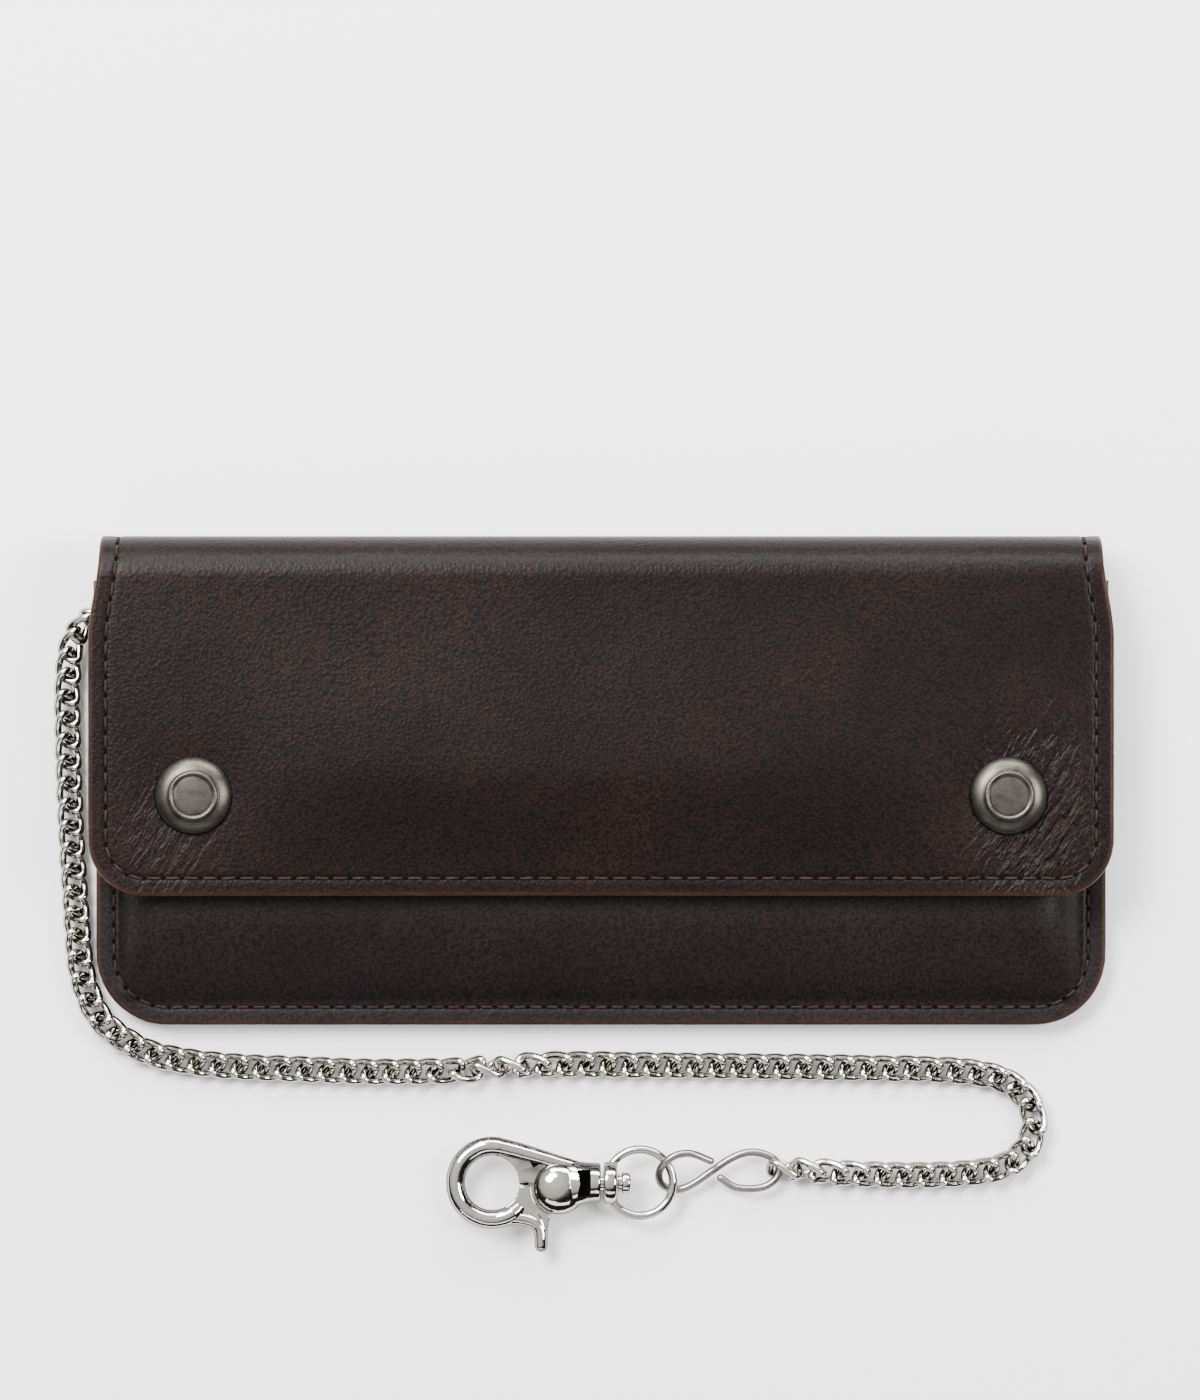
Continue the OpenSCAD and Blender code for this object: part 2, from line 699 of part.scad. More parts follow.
module gate_pin() {
    color(nickel) translate([pivot_x, pivot_y, hook_z - hook_t / 2 - dome_h / 2])
        cylinder(r = pin_d / 2, h = hook_t + dome_h);
}

// Wire coil around the pin, above the gate's hub
module gate_spring() {
    wire = 0.5;
    coil_r = pin_d / 2 + 0.7;
    turns = 1.75;
    steps = 28;
    low = hub_top + wire / 2 + 0.1;
    rise = hub_room - wire / 2 - 0.1 - low;
    route = [for (i = [0:steps])
        let (a = 360 * turns * i / steps)
        [pivot_x + coil_r * cos(a), pivot_y + coil_r * sin(a), hook_z + low + rise * i / steps]];
    color(old_nickel) tube(route, wire, wire, 6);
}

// ------------------------------------------------------------------ parts

back_panel();
back_lining();
divider();
card_pocket(0);  // card_pocket_top
card_pocket(1);  // card_pocket_middle
card_pocket(2);  // card_pocket_bottom
front_panel();
front_lining();
body_thread();
pocket_thread();
fold_strip();
flap_panel();
flap_lining();
flap_thread();
at_snap(-1) snap_cap();  // snap_cap_left
at_snap(1) snap_cap();  // snap_cap_right
at_snap(-1) snap_socket();  // snap_socket_left
at_snap(1) snap_socket();  // snap_socket_right
at_snap(-1) snap_spring();  // snap_spring_left
at_snap(1) snap_spring();  // snap_spring_right
at_snap(-1) snap_stud();  // snap_stud_left
at_snap(1) snap_stud();  // snap_stud_right
at_snap(-1) snap_eyelet();  // snap_eyelet_left
at_snap(1) snap_eyelet();  // snap_eyelet_right
ring_tab();
tab_thread();
d_ring();
chain_first_link();
chain();
chain_last_link();
s_hook();
swivel_eye();
swivel_post();
hook_body();
gate();
gate_pin();
gate_spring();
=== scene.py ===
"""Chain wallet: leather, thread, snaps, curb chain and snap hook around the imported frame."""
import json
import math

import bmesh
import bpy
import numpy as np
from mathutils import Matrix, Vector


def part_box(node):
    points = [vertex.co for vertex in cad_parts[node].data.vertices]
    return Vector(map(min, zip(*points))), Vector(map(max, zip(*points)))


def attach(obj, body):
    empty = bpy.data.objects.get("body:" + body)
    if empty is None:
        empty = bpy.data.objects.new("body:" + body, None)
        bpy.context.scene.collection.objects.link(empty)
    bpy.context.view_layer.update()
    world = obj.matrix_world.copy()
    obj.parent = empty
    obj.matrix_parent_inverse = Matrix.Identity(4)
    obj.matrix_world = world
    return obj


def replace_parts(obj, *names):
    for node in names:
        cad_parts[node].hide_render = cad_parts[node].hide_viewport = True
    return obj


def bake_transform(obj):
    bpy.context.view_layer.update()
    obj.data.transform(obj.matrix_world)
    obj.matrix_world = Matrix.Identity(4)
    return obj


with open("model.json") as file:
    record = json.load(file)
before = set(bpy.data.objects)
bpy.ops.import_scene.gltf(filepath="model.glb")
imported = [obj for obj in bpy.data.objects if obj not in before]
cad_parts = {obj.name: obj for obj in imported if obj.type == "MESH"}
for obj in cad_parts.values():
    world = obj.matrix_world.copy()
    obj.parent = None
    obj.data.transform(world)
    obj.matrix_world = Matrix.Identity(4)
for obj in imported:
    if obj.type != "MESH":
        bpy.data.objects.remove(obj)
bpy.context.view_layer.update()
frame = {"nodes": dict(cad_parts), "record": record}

MM = 0.001
JOINTS = {j["name"]: Vector(j["pos_m"]) for j in frame["record"]["behaviour"]["joints"]}

# --- sizes, from the frame
back_low, back_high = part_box("back_panel")
flap_low, flap_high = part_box("flap_panel")
fold_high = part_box("fold_strip")[1]
front_low, front_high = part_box("front_panel")
lining_low, lining_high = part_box("back_lining")
cap_low, cap_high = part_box("snap_cap_right")

LEATHER = lining_low.z  # thickness of the outer leather
TOP_Y = fold_high.y
BOTTOM_Y = back_low.y
FLAP_TOP = flap_high.z
FOLD_OUT = FLAP_TOP / 2  # outer radius of the fold
FOLD_MID = FOLD_OUT - LEATHER / 2
FOLD_Y = TOP_Y - FOLD_OUT
QUARTER = FOLD_MID * math.pi / 2  # length of a quarter of the bend
HALF_FLAP = flap_high.x
HALF_BODY = back_high.x
HALF_FOLD = fold_high.x
FLAP_END = QUARTER + FOLD_Y - flap_low.y  # unrolled, from the middle of the fold
BACK_END = QUARTER + FOLD_Y - BOTTOM_Y
SNAP_S = QUARTER + FOLD_Y - (cap_low.y + cap_high.y) / 2
SNAP_FOOT = QUARTER + FOLD_Y - cap_low.y  # lower edge of the snap caps, unrolled
MOUTH_Y = front_high.y
BORDER_TOP = front_low.z + LEATHER
FRONT_TOP = front_high.z
BODY_R = 14 * MM  # corners of the body and the flap
FLAP_R = 11 * MM
SNAP_X = 79 * MM
PULL_X = 84 * MM  # just outside the snaps, where the flap is pulled
SEAM = 3.5 * MM  # stitching, from the edge
FLAP_PITCH = 3.6 * MM
BODY_PITCH = 3.2 * MM
TAPER = 12 * MM  # length over which the sheet narrows to the fold

# --- camera
VIEW_TALL = 0.273  # height of the view at the wallet
CAMERA_UP = 1.30  # above the middle of the wallet's thickness
CAMERA_LENS = 100  # focal length, in millimetres


def make_camera():
    """Straight above, a little past the fold, with a long lens."""
    data = bpy.data.cameras.new("camera")
    camera = bpy.data.objects.new("camera", data)
    bpy.context.collection.objects.link(camera)
    data.lens = CAMERA_LENS
    data.sensor_fit = "VERTICAL"
    data.sensor_height = data.lens * VIEW_TALL / CAMERA_UP
    data.sensor_width = data.sensor_height
    camera.location = (-0.0002, 0.0158, CAMERA_UP + FLAP_TOP / 2)
    data.clip_start, data.clip_end = 0.05, 20
    bpy.context.scene.camera = camera


# --- node helpers
# scales of the leather's noises, for each metre of the unrolled sheet
BLOTCH_SCALE, FINE_SCALE, SPECK_SCALE, PEBBLE_SCALE, WRINKLE_SCALE = 26, 1500, 320, 1750, 230
GRAIN_DEPTH, WRINKLE_DEPTH = 0.00013, 0.0005


class Nodes:
    """Short calls for building a material's node tree."""

    def __init__(self, name):
        self.material = bpy.data.materials.new(name)
        self.material.use_nodes = True
        self.tree = self.material.node_tree
        self.shader = self.tree.nodes["Principled BSDF"]

    def add(self, kind, links=None, **values):
        node = self.tree.nodes.new(kind)
        for key, value in values.items():
            setattr(node, key, value)
        for socket, value in (links or {}).items():
            self.put(node.inputs[socket], value)
        return node

    def put(self, socket, value):
        if isinstance(value, bpy.types.NodeSocket):
            self.tree.links.new(value, socket)
        else:
            socket.default_value = value

    def set(self, **values):
        for key, value in values.items():
            self.put(self.shader.inputs[key.replace("_", " ")], value)

    def math(self, kind, a, b=0.0, clamp=False):
        return self.add("ShaderNodeMath", {0: a, 1: b}, operation=kind, use_clamp=clamp).outputs[0]

    def mix(self, factor, a, b):
        node = self.add("ShaderNodeMix", data_type="RGBA")
        self.put(node.inputs[0], factor)
        self.put(node.inputs[6], a)
        self.put(node.inputs[7], b)
        return node.outputs[2]

    def ramp(self, value, low, high, a=0.0, b=1.0):
        node = self.add("ShaderNodeMapRange", {0: value, 1: low, 2: high, 3: a, 4: b},
            interpolation_type="SMOOTHSTEP")
        return node.outputs[0]

    def place(self):
        return self.add("ShaderNodeTexCoord").outputs["Object"]

    def attribute(self, name):
        return self.add("ShaderNodeAttribute", attribute_name=name).outputs["Fac"]

    def noise(self, vector, scale, detail=2.0, rough=0.5, kind="3D"):
        return self.add("ShaderNodeTexNoise", {"Vector": vector, "Scale": scale, "Detail": detail,
                "Roughness": rough}, noise_dimensions=kind).outputs[0]

    def bump(self, height, distance, strength=1.0, normal=None):
        node = self.add("ShaderNodeBump", {"Height": height, "Distance": distance, "Strength": strength})
        if normal is not None:
            self.put(node.inputs["Normal"], normal)
        return node.outputs[0]


def rgb(r, g, b):
    return (r, g, b, 1.0)


def leather(name, dark, light, warm, edge, rough=0.38, grain=1.0, shine=0.11, creases=False):
    """Full-grain leather: pebbles, pores, uneven dye, and a burnished cut edge."""
    n = Nodes(name)
    place = n.add("ShaderNodeUVMap", uv_map="flat").outputs[0]
    blotch = n.noise(place, BLOTCH_SCALE, 4, 0.6)
    fine = n.noise(place, FINE_SCALE, 3, 0.75)
    speck = n.noise(place, SPECK_SCALE, 3, 0.65)
    pebble = n.add("ShaderNodeTexVoronoi", {"Vector": place, "Scale": PEBBLE_SCALE, "Randomness": 1.0},
        feature="SMOOTH_F1").outputs[0]
    colour = n.mix(n.ramp(blotch, 0.38, 0.64), rgb(*dark), rgb(*light))
    colour = n.mix(n.math("MULTIPLY", n.ramp(speck, 0.5, 0.72), n.ramp(blotch, 0.42, 0.6, 0.15, 0.75)),
        colour, rgb(*warm))
    pore = n.ramp(n.math("ADD", n.math("MULTIPLY", pebble, 0.5), fine), 0.60, 0.86, 0.0, 0.88)
    colour = n.mix(pore, colour, rgb(*[c * 0.25 for c in dark]))
    rim = n.attribute("rim")
    burnish = n.math("MULTIPLY", rim, n.ramp(n.noise(place, 120, 3), 0.3, 0.7, 0.55, 1.0))
    colour = n.mix(burnish, colour, rgb(*edge))
    height = n.math("ADD", n.math("MULTIPLY", pebble, 0.8 * grain), n.math("MULTIPLY", fine, 0.35 * grain))
    normal = n.bump(height, GRAIN_DEPTH, 0.6)
    if creases:
        normal = crease_bump(n, place, normal)
    n.set(Base_Color=colour, Normal=normal, Specular_IOR_Level=shine)
    n.set(Roughness=n.math("ADD", rough - 0.06, n.math("MULTIPLY", blotch, 0.16)))
    return n.material


def crease_bump(n, place, normal):
    """Fine slanting wrinkles where the flap is pulled between a snap and its corner."""
    turned = n.add("ShaderNodeMapping", {"Vector": place, "Rotation": (0, 0, math.radians(30)),
            "Scale": (1.0, 4.5, 1.0)}, vector_type="TEXTURE").outputs[0]
    warp = n.noise(turned, WRINKLE_SCALE, 4, 0.6)
    ridge = n.math("ABSOLUTE", n.math("SUBTRACT", warp, 0.5))
    sharp = n.ramp(ridge, 0.0, 0.10)
    zone = n.attribute("crease")
    return n.bump(n.math("MULTIPLY", sharp, zone), WRINKLE_DEPTH, 0.75, normal)


def thread_material():
    n = Nodes("thread")
    place = n.place()
    tone = n.ramp(n.noise(place, 700, 2), 0.35, 0.65)
    n.set(Base_Color=n.mix(tone, rgb(0.0075, 0.0036, 0.0028), rgb(0.020, 0.0092, 0.0068)))
    n.set(Normal=n.bump(n.noise(place, 4200, 2), 0.00006, 0.6), Roughness=0.7, Specular_IOR_Level=0.2)
    return n.material


def hole_material():
    n = Nodes("needle_hole")
    place = n.place()
    # painted shade: a near-black colour for the needle holes
    n.set(Base_Color=n.mix(n.noise(place, 900), rgb(0.0008, 0.0006, 0.0005), rgb(0.0025, 0.0016, 0.0013)))
    n.set(Roughness=0.9, Specular_IOR_Level=0.05)
    return n.material


def metal(name, colour, dark, rough, wear=0.25, scale=260, bump=0.00002):
    """Plated metal with faint mottling and hairlines, and painted shade on flanks and in recesses, from a
    point attribute.
    """
    n = Nodes(name)
    place = n.place()
    cloud = n.noise(place, scale, 4, 0.6)
    hair = n.noise(n.add("ShaderNodeMapping", {"Vector": place, "Scale": (1.0, 6.0, 1.0)}).outputs[0],
        scale * 8, 2, 0.5)
    # painted shade and painted dark reflections: the point attribute pulls flanks and recesses towards the
    # dark colour, over the mottled wear
    painted_shade = n.attribute("painted_shade")
    tone = n.math("ADD", n.math("MULTIPLY", n.ramp(cloud, 0.42, 0.68), wear), painted_shade, clamp=True)
    worn = n.math("ADD", rough, n.math("MULTIPLY", n.ramp(hair, 0.4, 0.7), rough * 0.5))
    n.set(Base_Color=n.mix(tone, rgb(*colour), rgb(*dark)), Roughness=worn, Metallic=1.0)
    n.set(Normal=n.bump(cloud, bump, 0.5))
    return n.material


def make_materials():
    edge = (0.034, 0.0130, 0.0064)
    return {
        "outer": leather("outer_leather", (0.0054, 0.0024, 0.0023), (0.0086, 0.0037, 0.0033),
            (0.0145, 0.0054, 0.0039), edge, creases=True),
        # painted light: the front's base is lighter than the outer leather's, to make up for the shade on
        # the pocket's slope
        "front": leather("front_leather", (0.0078, 0.0048, 0.0050), (0.0105, 0.0063, 0.0065),
            (0.0140, 0.0072, 0.0065), edge, rough=0.46, shine=0.13),
        "pocket": leather("pocket_leather", (0.0080, 0.0045, 0.0038), (0.0130, 0.0072, 0.0058),
            (0.020, 0.0100, 0.0075), (0.040, 0.017, 0.009), rough=0.5),
        "lining": leather("lining_leather", (0.026, 0.0135, 0.0090), (0.040, 0.0210, 0.0140),
            (0.050, 0.0260, 0.0170), (0.085, 0.043, 0.025), rough=0.6, grain=0.6),
        "thread": thread_material(),
        "hole": hole_material(),
        "cap": metal("antique_nickel", (0.082, 0.075, 0.065), (0.022, 0.019, 0.016), 0.33, 0.40, 420,
            0.00003),
        "snap": metal("snap_nickel", (0.58, 0.55, 0.50), (0.30, 0.27, 0.23), 0.26, 0.4),
        "chain": metal("chain_nickel", (0.78, 0.74, 0.66), (0.010, 0.009, 0.007), 0.13, 0.08, 500),
        "s_hook": metal("s_hook_nickel", (0.36, 0.34, 0.31), (0.020, 0.017, 0.014), 0.22, 0.12, 500),
        "hook": metal("hook_nickel", (0.68, 0.65, 0.59), (0.006, 0.005, 0.004), 0.06, 0.02, 95, 0.0005),
        "spring": metal("spring_steel", (0.55, 0.55, 0.55), (0.3, 0.3, 0.3), 0.3),
        }


# --- mesh helpers
def shown(mesh, materials, smooth_angle):
    """An object for a mesh, shaded smooth up to an angle in degrees."""
    mesh.shade_smooth()
    mesh.set_sharp_from_angle(angle=math.radians(smooth_angle))
    for material in materials:
        mesh.materials.append(material)
    obj = bpy.data.objects.new(mesh.name, mesh)
    bpy.context.collection.objects.link(obj)
    return obj


def mesh_object(name, vertices, faces, materials, smooth_angle=55, indices=None):
    mesh = bpy.data.meshes.new(name)
    mesh.from_pydata([tuple(v) for v in vertices], [], [tuple(int(i) for i in f) for f in faces])
    obj = shown(mesh, materials, smooth_angle)
    if indices is not None:
        mesh.polygons.foreach_set("material_index", np.asarray(indices, dtype=np.int32))
    return obj


def point_attribute(obj, name, values):
    attribute = obj.data.attributes.new(name, "FLOAT", "POINT")
    attribute.data.foreach_set("value", np.asarray(values, dtype=np.float32))


def vertex_rows(obj, what="co"):
    """The places or normals of an object's vertices, one in each row."""
    values = np.empty(len(obj.data.vertices) * 3, dtype=np.float32)
    obj.data.vertices.foreach_get(what, values)
    return values.reshape(-1, 3)


def flat_map(obj, flat):
    """A UV map in metres, from one flat place for each vertex."""
    uv = obj.data.uv_layers.new(name="flat")
    loops = np.empty(len(obj.data.loops), dtype=np.int32)
    obj.data.loops.foreach_get("vertex_index", loops)
    uv.data.foreach_set("uv", flat[loops].ravel().astype(np.float32))


def shade_sides(obj, strength, low=0.15, high=0.62):
    """Painted shade and painted dark reflections on the flanks of a wire or casting: darker as a face turns
    away from Z.
    """
    steep = 1 - smoothstep(np.abs(vertex_rows(obj, "normal")[:, 2]), low, high)
    point_attribute(obj, "painted_shade", steep * strength)


def paint_shade_in_box(obj, low, high):
    """Paints shade into a recess: blackens the vertices inside a box, in millimetres from the hook's axis.
    """
    place = (vertex_rows(obj) - np.array([0, HOOK_Y, HOOK_Z])) / MM
    inside = np.all((place > np.array(low)) & (place < np.array(high)), axis=1)
    painted_shade = np.empty(len(place), dtype=np.float32)
    values = obj.data.attributes["painted_shade"].data
    values.foreach_get("value", painted_shade)
    values.foreach_set("value", np.where(inside, 1.0, painted_shade).astype(np.float32))


def mm(*points):
    """Points given in millimetres, in metres."""
    return [tuple(v * MM for v in point) for point in points]


def lathe(profile, sides=64, axis="z", centre=(0, 0, 0)):
    """Vertices and faces of a turned shape; the profile is (radius, height), axis end to axis end."""
    vertices, faces, rings = [], [], []
    for radius, height in profile:
        if radius < 1e-9:
            rings.append([len(vertices)])
            vertices.append((0, 0, height))
            continue
        rings.append(list(range(len(vertices), len(vertices) + sides)))
        for k in range(sides):
            a = 2 * math.pi * k / sides
            vertices.append((radius * math.cos(a), radius * math.sin(a), height))
    for a, b in zip(rings, rings[1:]):
        for k in range(sides):
            m = (k + 1) % sides
            if len(a) == 1 and len(b) > 1:
                faces.append((a[0], b[m], b[k]))
            elif len(b) == 1 and len(a) > 1:
                faces.append((a[k], a[m], b[0]))
            elif len(a) > 1:
                faces.append((a[k], a[m], b[m], b[k]))
    vertices = np.array(vertices)
    if axis == "x":
        vertices = vertices[:, [2, 0, 1]]
    return vertices + np.array(centre), faces


def skin(count, sides, closed=False):
    """Faces round a row of rings, with flat ends unless the row closes on itself."""
    faces = []
    for i in range(count if closed else count - 1):
        j = (i + 1) % count
        for k in range(sides):
            m = (k + 1) % sides
            faces.append((i * sides + k, i * sides + m, j * sides + m, j * sides + k))
    if not closed:
        faces.append(tuple(range(sides - 1, -1, -1)))
        faces.append(tuple((count - 1) * sides + k for k in range(sides)))
    return faces


def path_frames(path, closed):
    """Each point of a path with its side, up and ahead, which turn as little as they can."""
    n = len(path)
    ahead = np.roll(path, -1, axis=0) - np.roll(path, 1, axis=0) if closed else np.gradient(path, axis=0)
    ahead /= np.linalg.norm(ahead, axis=1)[:, None]
    normal = np.cross(ahead[0], (0.0, 0.0, 1.0))
    if np.linalg.norm(normal) < 0.2:
        normal = np.cross(ahead[0], (0.0, 1.0, 0.0))
    rings = []
    for i in range(n):
        normal = normal - ahead[i] * np.dot(normal, ahead[i])
        normal /= np.linalg.norm(normal)
        rings.append((path[i], normal.copy(), np.cross(ahead[i], normal), ahead[i]))
    if closed:
        first, last = rings[0], rings[-1]
        twist = math.atan2(np.dot(last[1], first[2]), np.dot(last[1], first[1]))
        rings = [(p, s * math.cos(-twist * i / n) + u * math.sin(-twist * i / n),
                u * math.cos(-twist * i / n) - s * math.sin(-twist * i / n), t)
            for i, (p, s, u, t) in enumerate(rings)]
    return rings


def tube(path, radius, sides=12, closed=False, caps=True):
    """Vertices and faces of a round wire along a path, with domed ends; the radius may change along it."""
    path = np.asarray(path, dtype=float)
    radii = list(np.broadcast_to(radius, len(path)))
    rings = path_frames(path, closed)
    if caps and not closed:
        ends = [(0.94, 0.35), (0.72, 0.70), (0.38, 0.93)]
        first, last = radii[0], radii[-1]
        p, s, u, t = rings[0]
        rings = [(p - t * first * reach, s, u, t) for _, reach in reversed(ends)] + rings
        p, s, u, t = rings[-1]
        rings = rings + [(p + t * last * reach, s, u, t) for _, reach in ends]
        radii = [first * k for k, _ in reversed(ends)] + radii + [last * k for k, _ in ends]
    vertices = []
    for (p, s, u, _), size in zip(rings, radii):
        for k in range(sides):
            a = 2 * math.pi * k / sides
            vertices.append(p + (s * math.cos(a) + u * math.sin(a)) * size)
    return np.array(vertices), skin(len(rings), sides, closed)


def loft_x(stations, sides=64):
    """A body of oval sections along X; each station is (x, middle y, half width, middle z, half height)."""
    vertices = []
    for x, y, wide, z, high in stations:
        for k in range(sides):
            a = 2 * math.pi * k / sides
            vertices.append((x, y + wide * math.cos(a), z + high * math.sin(a)))
    return np.array(vertices), skin(len(stations), sides)


def joined(parts):
    """One vertex and face list from several."""
    vertices, faces, base = [], [], 0
    for v, f in parts:
        vertices.append(np.asarray(v))
        faces.extend(tuple(i + base for i in face) for face in f)
        base += len(v)
    return np.vstack(vertices), faces


def smooth_path(points, step):
    """Catmull-Rom curve through points, resampled at about an even step."""
    p = np.asarray(points, dtype=float)
    p = np.vstack([2 * p[0] - p[1], p, 2 * p[-1] - p[-2]])
    curve = []
    for i in range(1, len(p) - 2):
        a, b, c, d = p[i - 1], p[i], p[i + 1], p[i + 2]
        for t in np.linspace(0, 1, 16, endpoint=False):
            curve.append(0.5 * (2 * b + (c - a) * t + (2 * a - 5 * b + 4 * c - d) * t ** 2
                    + (3 * b - a - 3 * c + d) * t ** 3))
    curve.append(p[-2])
    curve = np.array(curve)
    along = np.concatenate([[0], np.cumsum(np.linalg.norm(np.diff(curve, axis=0), axis=1))])
    count = max(2, int(round(along[-1] / step)) + 1)
    at = np.linspace(0, along[-1], count)
    return np.stack([np.interp(at, along, curve[:, k]) for k in range(3)], axis=1), along[-1]


def smoothstep(x, low, high):
    t = np.clip((x - low) / (high - low), 0, 1)
    return t * t * (3 - 2 * t)


# --- leather sheets
GROOVE_DEPTH, GROOVE_HALF = 0.16 * MM, 0.55 * MM  # the channel that the stitching sinks into
FLAP_CROWN = 1.5 * MM
EDGE_STEPS = np.array([0, 0.06, 0.18, 0.36, 0.6, 0.9, 1.3, 1.8, 2.3, 2.7, 3.0, 3.25, 3.5, 3.75, 4.0, 4.3,
        4.8, 5.5, 6.5, 8, 10, 12.5, 15.5, 19]) * MM


def fold_place(s):
    """A point of the folded sheet's middle line, and its outward normal, as (y, z) pairs."""
    s = np.asarray(s, dtype=float)
    angle = np.clip(s / FOLD_MID, -math.pi / 2, math.pi / 2)
    past = np.maximum(np.abs(s) - QUARTER, 0)
    y = FOLD_Y + FOLD_MID * np.cos(angle) - past
    z = FOLD_OUT + FOLD_MID * np.sin(angle)
    return y, z, np.cos(angle), np.sin(angle)


def rows_between(start, end, step, fine_end=True, fine_start=False):
    """Row positions from start to end, fine at the free edges."""
    sign = 1 if end > start else -1
    low = list(start + sign * EDGE_STEPS) if fine_start else [start]
    high = list(end - sign * EDGE_STEPS[::-1]) if fine_end else [end]
    gap = abs(high[0] - low[-1])
    middle = np.linspace(low[-1], high[0], max(2, int(round(gap / step)) + 1))[1:-1]
    return np.array(low + list(middle) + high)


def sheet_grid(rows, half, end, corner, free_start, column_step):
    """Places across and along a sheet, and how far each is from a free edge."""
    end_gap = np.abs(rows - end)
    start_gap = np.abs(rows - rows[0]) if free_start else np.full(len(rows), 1.0)
    width = half(rows)
    bow = corner - np.sqrt(np.maximum(corner ** 2 - (corner - end_gap) ** 2, 0))
    reach = width - np.where(end_gap < corner, bow, 0)
    inner = EDGE_STEPS[-1]
    across = max(4, int(round(2 * (reach.max() - inner) / column_step)))
    x = np.stack([np.concatenate([-(r - EDGE_STEPS), np.linspace(-(r - inner), r - inner, across + 1)[1:-1],
                    (r - EDGE_STEPS)[::-1]]) for r in reach])
    side, gap = width[:, None] - np.abs(x), end_gap[:, None]
    round_zone = (side < corner) & (gap < corner)
    distance = np.where(round_zone, corner - np.hypot(corner - side, corner - gap), np.minimum(side, gap))
    distance = np.maximum(np.minimum(distance, start_gap[:, None]), 0)
    return x, np.repeat(rows[:, None], x.shape[1], axis=1), distance


def sheet_faces(count, columns, free_start):
    """Both faces of a sheet, and the cut where it goes on into the next piece."""
    index = np.arange(count * columns).reshape(count, columns)
    a, b, c, d = index[:-1, :-1], index[:-1, 1:], index[1:, 1:], index[1:, :-1]
    upper = np.stack([a, d, c, b], axis=-1).reshape(-1, 4)
    lower = np.stack([a, b, c, d], axis=-1).reshape(-1, 4) + count * columns
    faces = [tuple(f) for f in upper] + [tuple(f) for f in lower]
    if not free_start:
        faces += [(k, k + 1, k + 1 + count * columns, k + count * columns) for k in range(columns - 1)]
    return faces


def leather_sheet(name, rows, half, end, corner, thick, place, material, lift=None, free_start=False,
        seam=True, column_step=2.4 * MM):
    """A sheet with rounded edges. rows are unrolled positions, ending at the rounded end; half(s) is its
    half width and place(x, s) gives points and normals of its middle surface."""
    x, s, distance = sheet_grid(np.asarray(rows), half, end, corner, free_start, column_step)
    radius = min(thick * 0.46, 0.7 * MM)
    edge = np.sqrt(np.maximum(1 - (1 - np.minimum(distance / radius, 1)) ** 2, 0))
    centre, normal = place(x, s)
    raise_by = np.zeros_like(x) if lift is None else lift(x, s)
    groove = GROOVE_DEPTH * np.exp(-((distance - SEAM) / GROOVE_HALF) ** 2) if seam else 0 * x
    top = centre + normal * (raise_by + thick / 2 * edge - groove)[..., None]
    low = centre + normal * (raise_by - thick / 2 * edge)[..., None]
    vertices = np.vstack([top.reshape(-1, 3), low.reshape(-1, 3)])
    obj = mesh_object(name, vertices, sheet_faces(*x.shape, free_start), [material])
    rim = 1 - smoothstep(distance, 0.25 * MM, 1.1 * MM)
    point_attribute(obj, "rim", np.concatenate([rim.ravel(), rim.ravel()]))
    crease = crease_zone(x, s) if name == "flap_leather" else np.zeros_like(x)
    point_attribute(obj, "crease", np.concatenate([crease.ravel(), 0 * crease.ravel()]))
    flat = np.stack([x, s], axis=-1).reshape(-1, 2)
    flat_map(obj, np.vstack([flat, flat + 0.5]))
    weld(obj)
    return obj


def weld(obj):
    work = bmesh.new()
    work.from_mesh(obj.data)
    bmesh.ops.remove_doubles(work, verts=work.verts, dist=1e-6)
    bmesh.ops.recalc_face_normals(work, faces=work.faces)
    work.to_mesh(obj.data)
    work.free()


def crease_zone(x, s):
    """Where the flap is wrinkled: outside and below each snap, most at the right."""
    right = np.exp(-((x - PULL_X) / (9 * MM)) ** 2 - ((s - SNAP_FOOT + 2 * MM) / (16 * MM)) ** 2)
    left = 0.35 * np.exp(-((x + PULL_X) / (9 * MM)) ** 2 - ((s - SNAP_FOOT) / (12 * MM)) ** 2)
    return np.clip(1.3 * (right + left), 0, 1)


def folded_place(x, s):
    y, z, ny, nz = fold_place(s)
    return np.stack([x, y, z], axis=-1), np.stack([0 * x, ny, nz], axis=-1)


def taper(s, half):
    """Half width of the folded sheet: narrower at the bend."""
    return HALF_FOLD + (half - HALF_FOLD) * smoothstep(np.abs(s), QUARTER * 0.6, QUARTER + TAPER)


def flap_lift(x, s):
    """Soft drape of the flap: a low crown, a sag between the snaps and at the free edge."""
    near_edge = smoothstep(s, FLAP_END - 26 * MM, FLAP_END)
    between = np.cos(np.clip(x / SNAP_X, -1, 1) * math.pi / 2) ** 2
    past_snap = smoothstep(np.abs(x), PULL_X, HALF_FLAP)
    sag = -near_edge * (0.45 * MM * between + 0.25 * MM) - 0.2 * MM * past_snap
    dimple = sum(np.exp(-((x - snap) ** 2 + (s - SNAP_S) ** 2) / (11 * MM) ** 2)
        for snap in (-SNAP_X, SNAP_X))
    ripple = 0.10 * MM * np.sin(x / (19 * MM) + 1.3 * np.sin(s / (23 * MM)))
    ripple = ripple * smoothstep(s, QUARTER, QUARTER + 20 * MM)
    middle = 1 - np.clip(np.abs(x) / HALF_FLAP, 0, 1) ** 2.5
    crown = FLAP_CROWN * middle * smoothstep(s, 0.75 * QUARTER, QUARTER + 40 * MM) * (1 - near_edge)
    crown = crown * (1 - np.clip(dimple, 0, 1))
    return sag + crown + ripple - 0.22 * MM * dimple


